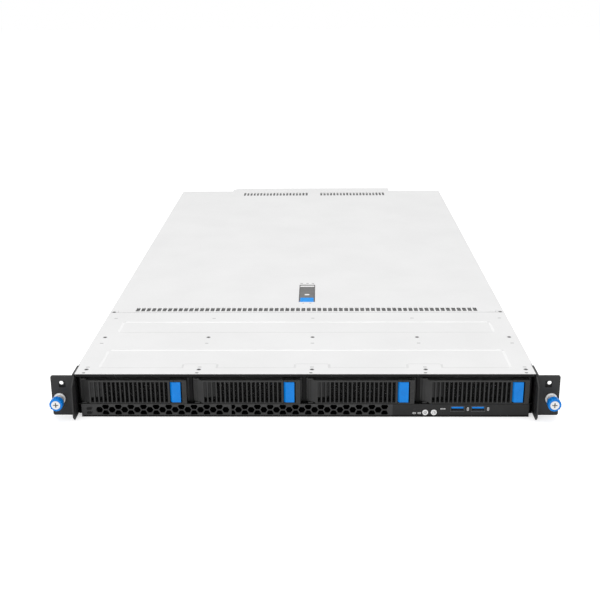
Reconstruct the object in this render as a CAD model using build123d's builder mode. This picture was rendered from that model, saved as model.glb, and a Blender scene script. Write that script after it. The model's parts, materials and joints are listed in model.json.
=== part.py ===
"""A 1U rack server with four drive trays across the front and two power supplies at the rear.

Lengths are in millimetres. X runs to the right as seen from the front, Y runs back into the rack and Z
runs up. The origin is on the underside, on the centreline, below the front face of the rack ears.
"""

import os
from math import sqrt

from build123d import *

# Overall size
body_width = 439.0
ear_reach = 21.8
rack_span = body_width + 2 * ear_reach
body_height = 43.6
full_depth = 842.5
tail_depth = 22.5
side_depth = full_depth - tail_depth
supply_bay = 85.5
tail_half = body_width / 2 - supply_bay
tail_corner = 10.0
floor_lead = 1.0

# Sheet, board and clearance values
sheet = 1.2
cover_sheet = 1.0
board = 1.6
seat_gap = 0.3
slide_gap = 0.4
pin_gap = 0.05

# Drive bays
bay_count = 4
bay_pitch = (body_width - 6.2) / bay_count
tray_width = bay_pitch - 3.8
bezel_width = tray_width - 3.8
shelf_top = 13.0
shelf_sheet = 0.8
tray_top = 37.5
tray_plate_y = 6.0
tray_sheet = 1.2
tray_floor = 0.6
tray_length = 152.0
face_y = -1.0

# Drives
drive_width = tray_width - 2.8
drive_height = 26.1
drive_length = 147.0
drive_y = 10.0
drive_lid = 0.7
drive_inset = 3.0
drive_corner = 2.0

# Drive lever with its grille, and the sliding lock beside it
lever_depth = 5.6
hinge_inset = 3.1
hinge_y = 2.6
hinge_pin_r = 1.0
hinge_lug = 1.0
slant_run = 7.6
slant_rear_y = 3.2
slot_pitch = 4.17
slot_width = 2.9
slot_start = 8.9
grille_bottom = 14.6
grille_top = 35.6
lock_width = 10.1
lock_travel = 1.0
lock_proud = 0.4
lock_bottom = 14.8
lock_top = 35.5
lock_bevel = 2.0
post_width = 4.3

# Front strip below the trays
strip_top = 12.9
strip_half = body_width / 2 - 6.0
strip_y = -0.8
strip_sheet = 1.4
strip_split = strip_half - 129.5
corner_notch = 3.8
corner_notch_depth = 7.0
hex_flat = 6.0
hex_wall = 1.0
hex_row_z = 6.9
hex_first_x = -strip_half + 17.1
comb_bottom = 1.9
comb_top = 12.2
comb_left = -strip_half + 13.9
comb_divider = -strip_half + 142.7
comb_divider_width = 2.2

# Front controls
button_r = 2.7
button_z = 4.4
locate_x = strip_split + 31.1
power_x = strip_split + 39.3
button_proud = 0.3
button_travel = 0.8
button_rear = 4.3
usb_x = (strip_split + 61.7, strip_split + 81.2)
usb_z = 7.9
usb_width = 12.5
usb_height = 4.6
usb_wall = 0.4
usb_depth = 14.0
usb_tongue = (11.1, 1.8, 9.0)

# Rack ears and thumbscrews
ear_sheet = 1.4
ear_plate = 2.0
ear_bottom = 1.3
ear_top = 41.8
ear_hole_x = rack_span / 2 - 9.9
ear_hole_z = 34.2
ear_hole_r = 2.0
ear_pocket = 6.4
ear_corner = 1.2
ear_flange_end = 22.0
ear_fin_front = -13.0
thumb_x = rack_span / 2 - 7.5
thumb_z = 18.4
ferrule_r = 5.7
ferrule_flange = 1.2
ferrule_sleeve_r = 4.6
ferrule_length = 8.7
knob_r = 6.4
knob_front = -15.8
knob_rib_count = 14
knob_groove = 0.8
thumb_thread_r = 2.5
thumb_neck_r = 2.0
thumb_neck_sides = 12
thumb_thread_start = 2.2
thumb_thread_end = 12.0
thumb_core_r = 4.2
thumb_proud = 0.4
cross_length = 5.0
cross_width = 1.2

# Covers
seam_y = 179.5
seam_gap = 0.4
front_flange = 2.6
emboss_depth = 0.4
emboss_half = body_width / 2 - 20.9
emboss_rear = (113.5, 148.0)
emboss_front = (15.0, 63.5)
emboss_corner = 3.0
tab_width = 31.0
tab_end = 25.0
tab_x = (-bay_pitch + 7.3, 7.3, bay_pitch + 7.3)
corner_tab = 8.9
corner_tab_end = 184.0
front_vent_pitch = 6.0
front_vent_count = int((body_width - 53.0) / front_vent_pitch)
front_vent_size = (4.2, 12.0)
front_vent_y = 189.0
front_vent_x = -0.5
rear_vent_pitch = 5.5
rear_vent_count = int((tail_half - 22.0) / rear_vent_pitch)
rear_vent_size = (3.2, 22.0)
rear_vent_y = full_depth - 47.5
rear_vent_x = (-tail_half + 75.0, tail_half - 63.7)

# Cover latch
latch_half = 9.3
latch_front = 215.6
latch_rear = 281.4
latch_depth = 9.0
latch_pin_y = 276.0
latch_pin_z = 39.6
latch_pin_r = 1.5
latch_plate = 2.4
latch_tip_length = 16.5
latch_hub_r = 2.8

# Drive cage and its backplane
cage_wall = 3.0
cage_side = 1.5
cage_front_y = 0.9
cage_flange = 12.0
cage_top = 42.1
cage_rear = 159.6
cage_sheet = 1.0

# Fans
fan_size = 40.0
fan_length = 28.0
fan_pitch = (body_width - 49.0) / 6.5
fan_x = (0.75 * fan_pitch, 1.75 * fan_pitch, 2.75 * fan_pitch)
fan_y = 205.0
fan_bore_r = 18.6
fan_bore_sides = 16
rotor_tip_r = 17.6
rotor_hub_r = 9.5
rotor_hub_sides = 10
rotor_length = 18.0
rotor_blades = 5
rotor_shaft_r = 1.5
rotor_shaft_sides = 8
blade_thick = 1.2
motor_length = 6.0
strut = 3.0

# Main board and what stands on it
board_z = 7.2
board_front = 300.0
psu_front = side_depth - 184.0
board_wide_rear = psu_front - 16.0
board_length = board_wide_rear - board_front
board_half = body_width / 2 - 11.5
board_narrow_half = tail_half - 6.0
board_rear = full_depth - 20.5
standoff_inset = 15.0
standoff_r = 3.0
cpu_x = 0.48 * board_half
cpu_y = board_front + 0.3625 * board_length
cooler_size = (0.375 * board_half, 0.3125 * board_length)
cooler_base = 10.0
cooler_top = 38.0
cooler_fins = 9
fin_thick = 1.2
memory_bank_x = (0.165 * board_half, 0.825 * board_half)
memory_per_bank = 4
memory_pitch = 9.5
memory_length = 0.417 * board_length
memory_top = 39.0
duct_overlap = 17.3

# Power supplies
psu_width = 73.5
psu_height = 40.0
psu_bottom = 1.6
psu_bay_wall = 1.2
inlet_offset = -18.5
inlet_z = 12.0
inlet_size = (24.2, 16.4)
inlet_depth = 16.0
psu_fan_offset = 17.0
psu_fan_r = 17.0
psu_fan_depth = 14.0
handle_reach = 19.0
handle_bar = 4.0
handle_width = 28.0
handle_z = 31.0
latch_tab = (2.0, 11.0, 12.0)
latch_tab_travel = 2.0

# Rear panel
port_z = 8.8
rj45_size = (16.0, 13.5)
rj45_mouth = (11.8, 8.0)
port_left = -0.746 * tail_half
rj45_x = (port_left, port_left + 76.0, port_left + 94.0)
usb_stack_x = port_left + 21.0
usb_stack_size = (14.4, 15.6)
vga_x = port_left + 49.0
vga_size = (31.0, 12.4)
port_depth = 20.0
slot_cover_height = 13.0
slot_cover_z = 33.0
slot_cover_spans = ((-tail_half + 16.0, -8.0), (8.0, tail_half - 16.0))
lower_slot_span = (port_left + 120.0, tail_half - 36.0)
lower_slot_z = 14.5
slit_count = 4
slit_share = 0.8

# Sizes that follow from the ones above
half = body_width / 2
wall_in = half - sheet
cover_under = body_height - cover_sheet
joggle_out = half - ear_sheet
joggle_in = joggle_out - sheet
joggle_start = ear_flange_end + 1.4
joggle_end = joggle_start + ear_sheet
tray_bottom = shelf_top + seat_gap
tray_rear = tray_plate_y + tray_length
strip_rear = strip_y + strip_sheet
bay_centres = [(k - (bay_count - 1) / 2) * bay_pitch for k in range(bay_count)]
bay_edges = [(k - bay_count / 2) * bay_pitch for k in range(bay_count + 1)]
psu_x = (tail_half + wall_in) / 2
board_top = board_z + board
cage_outer = bay_edges[-1]
cage_inner = bay_centres[-1] + tray_width / 2 + slide_gap
fan_bottom = sheet + cage_sheet
fan_z = fan_bottom + fan_size / 2
signs = (-1, 1)


def span(x, y):
    """Rectangle from x[0] to x[1] and y[0] to y[1] in the sketch being drawn."""
    with Locations(((x[0] + x[1]) / 2, (y[0] + y[1]) / 2)):
        Rectangle(x[1] - x[0], y[1] - y[0])


def slab(x, y, z, mode=Mode.ADD):
    """Straight-sided block spanning three pairs, joined to or cut from the part being built."""
    with BuildSketch(Plane.XY.offset(z[0])) as outline:
        span(x, y)
    extrude(outline.sketch, amount=z[1] - z[0], mode=mode)


def face_plane(y):
    """Plane across the server at depth y, drawn in X and Z; its normal points forward."""
    return Plane(origin=(0, y, 0), x_dir=(1, 0, 0), z_dir=(0, -1, 0))


def side_plane(x):
    """Plane along the server at x, drawn in Y and Z; its normal points right."""
    return Plane(origin=(x, 0, 0), x_dir=(0, 1, 0), z_dir=(1, 0, 0))


def rod(x, z, y, radius, mode=Mode.ADD):
    """Round bar along Y between the two depths in y."""
    with BuildSketch(face_plane(y[0])) as circle:
        with Locations((x, z)):
            Circle(radius)
    extrude(circle.sketch, amount=y[0] - y[1], mode=mode)


def post(x, y, z, radius, mode=Mode.ADD):
    """Round bar along Z between the two heights in z."""
    with BuildSketch(Plane.XY.offset(z[0])) as circle:
        with Locations((x, y)):
            Circle(radius)
    extrude(circle.sketch, amount=z[1] - z[0], mode=mode)


def plan(points, z, mode=Mode.ADD):
    """Block with the plan outline given by its corners, between two heights."""
    with BuildSketch(Plane.XY.offset(z[0])) as outline:
        with BuildLine():
            Polyline(*points, close=True)
        make_face()
    extrude(outline.sketch, amount=z[1] - z[0], mode=mode)


def finish(piece, name):
    """Label a finished piece and write its file."""
    piece.part.label = name
    export_step(piece.part, f"parts/{name}.step")


os.makedirs("parts", exist_ok=True)


# Chassis floor with its rear tail, and the walls that stand on it
def tail_outline(inset, front):
    """Plan of the middle tail behind depth front, drawn inset from its outer faces."""
    corner = tail_corner - inset * (sqrt(2) - 1)
    return (
        (-tail_half + inset, front),
        (tail_half - inset, front),
        (tail_half - inset, full_depth - inset),
        (-tail_half + inset + corner, full_depth - inset),
        (-tail_half + inset, full_depth - inset - corner),
    )


rail_hole_r = 2.1
rail_hole_y = (190.0, 570.0)
rail_hole_z = 22.0

with BuildPart() as chassis_tray:
    plan(
        (
            (-strip_half, -floor_lead),
            (strip_half, -floor_lead),
            (strip_half, corner_notch_depth),
            (joggle_out, corner_notch_depth),
            (joggle_out, joggle_start),
            (half, joggle_end),
            (half, side_depth),
            (-half, side_depth),
            (-half, joggle_end),
            (-joggle_out, joggle_start),
            (-joggle_out, corner_notch_depth),
            (-strip_half, corner_notch_depth),
        ),
        (0, sheet),
    )
    plan(tail_outline(0, side_depth - sheet), (0, sheet))
finish(chassis_tray, "chassis_tray")

wall_z = (sheet, cover_under)
rear_wall = (side_depth - sheet, side_depth)
bay_inner = psu_x - psu_width / 2 - 2 * seat_gap
bay_outer = psu_x + psu_width / 2 + slide_gap

with BuildPart() as chassis_walls:
    plan(tail_outline(0, side_depth - sheet), wall_z)
    plan(tail_outline(sheet, side_depth - 2 * sheet), wall_z, mode=Mode.SUBTRACT)
    slab(
        (-tail_half + tail_corner + sheet, tail_half - sheet),
        (full_depth - 2 * sheet, full_depth + sheet),
        wall_z,
        mode=Mode.SUBTRACT,
    )
    for side in signs:
        plan(
            (
                (side * joggle_out, 0),
                (side * joggle_out, joggle_start),
                (side * half, joggle_end),
                (side * half, side_depth),
                (side * wall_in, side_depth),
                (side * wall_in, joggle_end),
                (side * joggle_in, joggle_start),
                (side * joggle_in, 0),
            ),
            wall_z,
        )
        slab(sorted((side * bay_outer, side * wall_in)), rear_wall, wall_z)
        slab(sorted((side * (tail_half - sheet), side * bay_inner)), rear_wall, wall_z)
        slab(
            sorted((side * (bay_inner - psu_bay_wall), side * bay_inner)),
            (psu_front + 4, side_depth),
            (sheet, cage_top),
        )
        notch = sorted((side * strip_half, side * half))
        slab(notch, (-floor_lead, corner_notch_depth), (sheet, corner_notch), mode=Mode.SUBTRACT)
        with BuildSketch(side_plane(side * half)) as side_holes:
            with Locations(*[(y, rail_hole_z) for y in rail_hole_y]):
                Circle(rail_hole_r)
        extrude(side_holes.sketch, amount=-side * sheet, mode=Mode.SUBTRACT)
finish(chassis_walls, "chassis_walls")


# Covers
def emboss_sketch(grow):
    """The two shallow panels pressed into the front cover, grown by the given margin."""
    outer = emboss_half + grow
    with BuildSketch() as pressed:
        for y0, y1 in (emboss_front, emboss_rear):
            span((-outer, outer), (y0 - grow, y1 + grow))
        with Locations(*[(x, tab_end / 2) for x in tab_x]):
            Rectangle(tab_width - 2 * grow, tab_end - 2 * grow, mode=Mode.SUBTRACT)
        chamfer([v for v in pressed.vertices() if abs(v.X) > outer - grow - seat_gap], length=emboss_corner)
    return pressed.sketch


front_cover_y = (-seam_gap, seam_y - seam_gap / 2)
cover_front_half = joggle_out - slide_gap / 4
corner_tab_x = half - corner_tab

with BuildPart() as front_cover:
    plan(
        (
            (-cover_front_half, front_cover_y[0]),
            (cover_front_half, front_cover_y[0]),
            (cover_front_half, joggle_end),
            (half, joggle_end),
            (half, corner_tab_end),
            (corner_tab_x, corner_tab_end),
            (corner_tab_x, front_cover_y[1]),
            (-corner_tab_x, front_cover_y[1]),
            (-corner_tab_x, corner_tab_end),
            (-half, corner_tab_end),
            (-half, joggle_end),
            (-cover_front_half, joggle_end),
        ),
        (cover_under, body_height),
    )
    slab(
        (-joggle_in, joggle_in),
        (front_cover_y[0], front_cover_y[0] + cover_sheet),
        (body_height - front_flange, cover_under),
    )
    front_bend = front_cover.edges().filter_by(Axis.X).group_by(Axis.Z)[-1].sort_by(Axis.Y)[0]
    fillet(front_bend, radius=cover_sheet * 0.9)
    extrude(Pos(0, 0, cover_under) * emboss_sketch(emboss_depth), amount=-emboss_depth)
    extrude(Pos(0, 0, body_height) * emboss_sketch(0), amount=-emboss_depth, mode=Mode.SUBTRACT)
finish(front_cover, "front_cover")

rear_cover_front = seam_y + seam_gap / 2
rear_tab_x = corner_tab_x - slide_gap
latch_hole = ((-latch_half, latch_half), (latch_front, latch_rear))

with BuildPart() as rear_cover:
    plan(
        (
            (-rear_tab_x, rear_cover_front),
            (rear_tab_x, rear_cover_front),
            (rear_tab_x, corner_tab_end + slide_gap),
            (half, corner_tab_end + slide_gap),
            (half, side_depth),
            (tail_half, side_depth),
            (tail_half, full_depth),
            (-tail_half + tail_corner, full_depth),
            (-tail_half, full_depth - tail_corner),
            (-tail_half, side_depth),
            (-half, side_depth),
            (-half, corner_tab_end + slide_gap),
            (-rear_tab_x, corner_tab_end + slide_gap),
        ),
        (cover_under, body_height),
    )
    with BuildSketch(Plane.XY.offset(body_height)) as cuts:
        with Locations((front_vent_x, front_vent_y)):
            with GridLocations(front_vent_pitch, 1, front_vent_count, 1):
                Rectangle(*front_vent_size)
        with Locations(*[(x, rear_vent_y) for x in rear_vent_x]):
            with GridLocations(rear_vent_pitch, 1, rear_vent_count, 1):
                Rectangle(*rear_vent_size)
        span(*latch_hole)
    extrude(cuts.sketch, amount=-2 * cover_sheet, mode=Mode.SUBTRACT)
finish(rear_cover, "rear_cover")

with BuildPart() as latch_housing:
    pan_half = latch_half + cover_sheet
    pan_y = (latch_front - cover_sheet, latch_rear + cover_sheet)
    slab((-pan_half, pan_half), pan_y, (cover_under - latch_depth, cover_under))
    rim = 3.0
    slab(
        (-pan_half - rim, pan_half + rim),
        (pan_y[0] - rim, pan_y[1] + rim),
        (cover_under - cover_sheet, cover_under),
    )
    slab(*latch_hole, (cover_under - latch_depth + cover_sheet, body_height), mode=Mode.SUBTRACT)
    with BuildSketch(side_plane(-latch_half)) as pivot:
        with Locations((latch_pin_y, latch_pin_z)):
            Circle(latch_pin_r)
    extrude(pivot.sketch, amount=2 * latch_half)
finish(latch_housing, "latch_housing")

lever_half = latch_half - slide_gap
tip_front = latch_front + slide_gap
tip_rear = tip_front + latch_tip_length
lever_top = body_height - slide_gap

with BuildPart() as latch_lever:
    slab((-lever_half, lever_half), (tip_rear, latch_pin_y), (lever_top - latch_plate, lever_top))
    for side in signs:
        rib = sorted((side * lever_half, side * (lever_half - cover_sheet)))
        slab(rib, (tip_rear, latch_pin_y), (latch_pin_z - latch_hub_r, lever_top))
    with BuildSketch(side_plane(-lever_half)) as hub:
        with Locations((latch_pin_y, latch_pin_z)):
            Circle(latch_hub_r)
        span((latch_pin_y - latch_hub_r, latch_pin_y + latch_hub_r), (latch_pin_z, lever_top))
    extrude(hub.sketch, amount=2 * lever_half)
    with BuildSketch(side_plane(-lever_half)) as bore:
        with Locations((latch_pin_y, latch_pin_z)):
            Circle(latch_pin_r + pin_gap)
    extrude(bore.sketch, amount=2 * lever_half, mode=Mode.SUBTRACT)
finish(latch_lever, "latch_lever")

with BuildPart() as latch_tip:
    slab((-lever_half, lever_half), (tip_front, tip_rear), (lever_top - 1.6 * latch_plate, lever_top))
    chamfer(latch_tip.edges().filter_by(Axis.X).group_by(Axis.Y)[0].sort_by(Axis.Z)[-1], length=1.2)
finish(latch_tip, "latch_tip")


# Drive cage: shelf, bay walls with top flanges, and legs at the rear
with BuildPart() as drive_cage:
    slab((-cage_outer, cage_outer), (cage_front_y, cage_rear), (shelf_top - shelf_sheet, shelf_top))
    for side in signs:
        slab(
            sorted((side * cage_inner, side * cage_outer)),
            (corner_notch_depth + 1, cage_rear),
            (sheet, cage_top),
        )
        slab(
            sorted((side * cage_outer, side * (cage_outer - cage_flange))),
            (tray_plate_y, cage_rear),
            (cage_top - cage_sheet, cage_top),
        )
    for x in bay_edges[1:-1]:
        slab((x - cage_wall / 2, x + cage_wall / 2), (tray_plate_y - 2, cage_rear), (shelf_top, cage_top))
        slab(
            (x - cage_wall / 2, x + cage_flange),
            (tray_plate_y, cage_rear),
            (cage_top - cage_sheet, cage_top),
        )
        slab(
            (x - cage_wall, x + cage_wall),
            (cage_rear - cage_sheet, cage_rear),
            (sheet, shelf_top - shelf_sheet),
        )
finish(drive_cage, "drive_cage")


# Perforated front strip: hexagons in one full row, with the rows above and below cut by its borders
hex_r = hex_flat / sqrt(3)
hex_step_z = hex_flat + hex_wall
hex_step_x = hex_step_z * sqrt(3) / 2


def comb_cells(x0, x1):
    """Centres of the hexagons that start inside one stretch of the strip."""
    cells = []
    column = 0
    while hex_first_x + column * hex_step_x < x1:
        x = hex_first_x + column * hex_step_x
        if x > x0:
            rows = (0,) if column % 2 == 0 else (-0.5, 0.5)
            cells += [(x, hex_row_z + row * hex_step_z) for row in rows]
        column += 1
    return cells


with BuildPart() as front_vent_panel:
    with BuildSketch(face_plane(strip_y)) as strip:
        span((-strip_half, strip_split), (sheet, strip_top))
        with Locations(*[(comb_left - 5.4, z) for z in (4.6, 9.2)]):
            Rectangle(3.4, 1.7, mode=Mode.SUBTRACT)
    extrude(strip.sketch, amount=-strip_sheet)
    comb_spans = (
        (comb_left, comb_divider - comb_divider_width / 2),
        (comb_divider + comb_divider_width / 2, strip_split - comb_divider_width),
    )
    for x0, x1 in comb_spans:
        with BuildSketch(face_plane(strip_y)) as comb:
            with Locations(*comb_cells(x0, x1)):
                RegularPolygon(hex_r, 6)
            with Locations(((x0 + x1) / 2, (comb_bottom + comb_top) / 2)):
                Rectangle(x1 - x0, comb_top - comb_bottom, mode=Mode.INTERSECT)
        extrude(comb.sketch, amount=-strip_sheet, mode=Mode.SUBTRACT)
finish(front_vent_panel, "front_vent_panel")

with BuildPart() as front_io_panel:
    with BuildSketch(face_plane(strip_y)) as strip:
        span((strip_split, strip_half), (sheet, strip_top))
        with Locations((locate_x, button_z), (power_x, button_z)):
            Circle(button_r + slide_gap / 2, mode=Mode.SUBTRACT)
        with Locations(*[(x, usb_z) for x in usb_x]):
            usb_hole = (usb_width + 2 * usb_wall + slide_gap / 2, usb_height + 2 * usb_wall + slide_gap / 2)
            Rectangle(*usb_hole, mode=Mode.SUBTRACT)
    extrude(strip.sketch, amount=-strip_sheet)
finish(front_io_panel, "front_io_panel")

with BuildPart() as usb_ports:
    for x in usb_x:
        with BuildSketch(face_plane(strip_y)) as shell:
            with Locations((x, usb_z)):
                Rectangle(usb_width + 2 * usb_wall, usb_height + 2 * usb_wall)
        extrude(shell.sketch, amount=-usb_depth)
        with BuildSketch(face_plane(strip_y)) as mouth:
            with Locations((x, usb_z)):
                Rectangle(usb_width, usb_height)
        extrude(mouth.sketch, amount=-(usb_depth - 2 * usb_wall), mode=Mode.SUBTRACT)
        tongue_rear = strip_y + usb_depth - 2 * usb_wall
        tongue_top = usb_z + usb_height / 2 - usb_wall
        slab(
            (x - usb_tongue[0] / 2, x + usb_tongue[0] / 2),
            (tongue_rear - usb_tongue[2], tongue_rear),
            (tongue_top - usb_tongue[1], tongue_top),
        )
finish(usb_ports, "usb_ports")

usb_board_z = usb_z - usb_height / 2 - usb_wall
switch_y = button_rear + button_travel + slide_gap / 2
with BuildPart() as front_io_board:
    io_board_x = (power_x + 10.7, strip_half - 8.5)
    slab(io_board_x, (strip_rear + seat_gap, 48), (usb_board_z - board, usb_board_z))
    for x in (io_board_x[0] + 5, io_board_x[1] - 5):
        slab((x - 2, x + 2), (6, 44), (sheet, usb_board_z - board))
    switch_board_x = (locate_x - 17, power_x + 7.7)
    slab(switch_board_x, (switch_y + 2, switch_y + 2 + board), (sheet, shelf_top - shelf_sheet - seat_gap))
    for x in (locate_x, power_x):
        slab((x - 2.4, x + 2.4), (switch_y, switch_y + 2), (button_z - 2.4, button_z + 2.4))
finish(front_io_board, "front_io_board")


def push_button(x, name):
    """Round button in the front strip, with a collar that its panel retains."""
    with BuildPart() as button:
        rod(x, button_z, (strip_y - button_proud, button_rear), button_r)
        collar = button_r + slide_gap
        slab(
            (x - collar, x + collar),
            (button_rear - button_travel, button_rear),
            (button_z - collar, button_z + collar),
        )
    finish(button, name)


push_button(locate_x, "locate_button")
push_button(power_x, "power_button")


# Rack ears with their captive thumbscrews
def rack_ear(side, name):
    """Ear plate with a pocketed hole, and a side flange that runs forward as a fin."""
    with BuildPart() as ear:
        with BuildSketch(face_plane(0)) as plate:
            x = sorted((side * joggle_out, side * rack_span / 2))
            span(x, (ear_bottom, ear_top))
            with Locations((side * ear_hole_x, ear_hole_z)):
                Circle(ear_hole_r, mode=Mode.SUBTRACT)
            with Locations((side * thumb_x, thumb_z)):
                Circle(thumb_thread_r + pin_gap, mode=Mode.SUBTRACT)
        extrude(plate.sketch, amount=-ear_plate)
        corners = ear.edges().filter_by(Axis.Y).group_by(Axis.X)[-1 if side > 0 else 0]
        chamfer(corners, length=ear_corner)
        with BuildSketch(face_plane(0)) as pocket:
            with Locations((side * (ear_hole_x - 1), ear_hole_z - 1)):
                Rectangle(ear_pocket, ear_pocket)
        extrude(pocket.sketch, amount=-ear_plate / 2, mode=Mode.SUBTRACT)
        with BuildSketch(side_plane(side * joggle_out)) as flange:
            with BuildLine():
                Polyline(
                    (ear_flange_end, ear_bottom),
                    (-9.0, 0.4),
                    (ear_fin_front + 0.6, 4.0),
                    (ear_fin_front, 9.0),
                    (ear_fin_front + 1.6, 34.5),
                    (-8.0, 37.2),
                    (-1.0, ear_top - 0.4),
                    (3.0, cover_under),
                    (ear_flange_end, cover_under),
                    close=True,
                )
            make_face()
        extrude(flange.sketch, amount=side * ear_sheet)
    finish(ear, name)


rack_ear(-1, "rack_ear_left")
rack_ear(1, "rack_ear_right")

with BuildPart() as thumbscrew_ferrules:
    for side in signs:
        rod(side * thumb_x, thumb_z, (-ferrule_flange, 0), ferrule_r)
        rod(side * thumb_x, thumb_z, (-ferrule_length, -ferrule_flange), ferrule_sleeve_r)
        bore = (-ferrule_length, 0)
        rod(side * thumb_x, thumb_z, bore, thumb_thread_r + pin_gap, mode=Mode.SUBTRACT)
finish(thumbscrew_ferrules, "thumbscrew_ferrules")


def thumbscrew(side, knob_name, screw_name):
    """Ribbed knob pressed on a screw with a cross recess, an undercut neck and a threaded end."""
    x = side * thumb_x
    knob_rear = -ferrule_length - seat_gap
    screw_front = knob_front - thumb_proud
    with BuildPart() as knob:
        with BuildSketch(face_plane(knob_front)) as outline:
            with Locations((x, thumb_z)):
                RegularPolygon(knob_r, knob_rib_count)
                with PolarLocations(knob_r, knob_rib_count):
                    RegularPolygon(knob_groove, 3, rotation=180, mode=Mode.SUBTRACT)
                Circle(thumb_core_r + pin_gap, mode=Mode.SUBTRACT)
        extrude(outline.sketch, amount=knob_front - knob_rear)
    finish(knob, knob_name)
    with BuildPart() as screw:
        rod(x, thumb_z, (screw_front, knob_rear), thumb_core_r)
        with BuildSketch(face_plane(knob_rear)) as neck:
            with Locations((x, thumb_z)):
                RegularPolygon(thumb_neck_r, thumb_neck_sides)
        extrude(neck.sketch, amount=knob_rear - thumb_thread_start)
        rod(x, thumb_z, (thumb_thread_start, thumb_thread_end), thumb_thread_r)
        with BuildSketch(face_plane(screw_front)) as cross:
            with Locations((x, thumb_z)):
                Rectangle(cross_length, cross_width)
                Rectangle(cross_width, cross_length)
        extrude(cross.sketch, amount=-cross_width, mode=Mode.SUBTRACT)
    finish(screw, screw_name)


thumbscrew(-1, "knob_left", "captive_screw_left")
thumbscrew(1, "knob_right", "captive_screw_right")


# Drive trays. Each has a fixed post at the right that carries the lock, and lugs at the left for the lever.
bezel_left = -bezel_width / 2
bezel_right = bezel_width / 2
lever_y = (face_y, face_y + lever_depth)
lever_bottom = tray_bottom + seat_gap
lever_top_z = tray_top - seat_gap + 0.1
hinge_u = bezel_left + hinge_inset
lug_width = 4.8
lug_top = (lever_top_z + seat_gap, lever_top_z + seat_gap + hinge_lug)
lug_bottom = (tray_bottom, tray_bottom + hinge_lug)
lock_right = bezel_right - post_width - lock_travel - seat_gap
lock_left = lock_right - lock_width
lever_end = lock_left - seat_gap
post_left = lever_end + seat_gap
stem_z = ((lock_bottom + lock_top) / 2 - 3, (lock_bottom + lock_top) / 2 + 3)
stem_u = (lock_left + 3.4, lock_left + 6.4)
window_count = 2
window_size = (0.5 * bezel_width - 17.3, 20.0)
window_pitch = window_size[0] + 4.0
slot_count = 1 + int((lever_end - bezel_left - slot_start - slot_width) / slot_pitch)


def drive_tray(centre, name):
    """Carrier with windowed front plate, floor and side rails, hinge lugs and pin, and the lock's frame."""
    left = centre + bezel_left
    hinge_x = centre + hinge_u
    plate_y = (tray_plate_y, tray_plate_y + tray_sheet)
    with BuildPart() as tray:
        with BuildSketch(face_plane(plate_y[0])) as plate:
            span((centre - tray_width / 2, centre + tray_width / 2), (tray_bottom, tray_top))
            with Locations((centre - 9.5, (grille_bottom + grille_top) / 2)):
                with GridLocations(window_pitch, 1, window_count, 1):
                    Rectangle(*window_size, mode=Mode.SUBTRACT)
            stem_slot = (stem_u[1] - stem_u[0] + lock_travel + 2 * seat_gap, 6 + 2 * seat_gap)
            with Locations((centre + (stem_u[0] + stem_u[1] + lock_travel) / 2, sum(stem_z) / 2)):
                Rectangle(*stem_slot, mode=Mode.SUBTRACT)
        extrude(plate.sketch, amount=-tray_sheet)
        with BuildSketch(face_plane(plate_y[1])) as channel:
            span((centre - tray_width / 2, centre + tray_width / 2), (tray_bottom, tray_top - 2))
            inner = (centre - tray_width / 2 + tray_sheet, centre + tray_width / 2 - tray_sheet)
            with Locations((centre, (tray_bottom + tray_floor + body_height) / 2)):
                Rectangle(inner[1] - inner[0], body_height - tray_bottom - tray_floor, mode=Mode.SUBTRACT)
        extrude(channel.sketch, amount=-(tray_length - tray_sheet))
        frame_x = (centre + post_left, centre + bezel_right)
        slab(frame_x, (face_y, plate_y[0]), (tray_bottom, tray_top))
        slab(
            (frame_x[0] - 1, centre + bezel_right - post_width),
            (face_y - 1, plate_y[0]),
            (lock_bottom - seat_gap, lock_top + slide_gap),
            mode=Mode.SUBTRACT,
        )
        for z in (lug_bottom, lug_top):
            slab((left, left + lug_width), (hinge_y - 2, plate_y[0]), z)
        slab((left, left + lug_width), plate_y, (tray_top - 1, lug_top[1]))
        post(hinge_x, hinge_y, (lug_bottom[1], lug_top[0]), hinge_pin_r)
    finish(tray, name)


def tray_lever(centre, name):
    """Swinging grille: a slanted cheek at the hinge and upright louvres up to the lock."""
    left = centre + bezel_left
    hinge_x = centre + hinge_u
    with BuildPart() as lever:
        outline = (
            (left + 0.1, slant_rear_y),
            (left + slant_run, lever_y[0]),
            (centre + lever_end, lever_y[0]),
            (centre + lever_end, lever_y[1]),
            (left + 1.9, lever_y[1]),
        )
        plan(outline, (lever_bottom, lever_top_z))
        hinge_cut = (left - 1, left + lug_width + 1.4)
        slab(
            hinge_cut,
            (lever_y[0] - 1, lever_y[1] + 1),
            (lever_bottom - 1, lug_bottom[1] + seat_gap),
            mode=Mode.SUBTRACT,
        )
        with BuildSketch(face_plane(lever_y[0])) as slots:
            grille_middle = (grille_bottom + grille_top) / 2
            first = left + slot_start + slot_width / 2
            for k in range(slot_count):
                with Locations((first + k * slot_pitch, grille_middle)):
                    Rectangle(slot_width, grille_top - grille_bottom)
        extrude(slots.sketch, amount=-lever_depth, mode=Mode.SUBTRACT)
        pad_x = (left + slot_start - 0.6, left + slot_start + 3 * slot_pitch)
        plan(
            (
                (pad_x[0], lever_y[0] + 1.6),
                (pad_x[1], lever_y[1] - 1.0),
                (pad_x[1], lever_y[1]),
                (pad_x[0], lever_y[1]),
            ),
            (grille_bottom + 4.6, grille_top + 0.2),
        )
        post(hinge_x, hinge_y, (tray_bottom, lug_top[1]), hinge_pin_r + pin_gap, mode=Mode.SUBTRACT)
    finish(lever, name)


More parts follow.
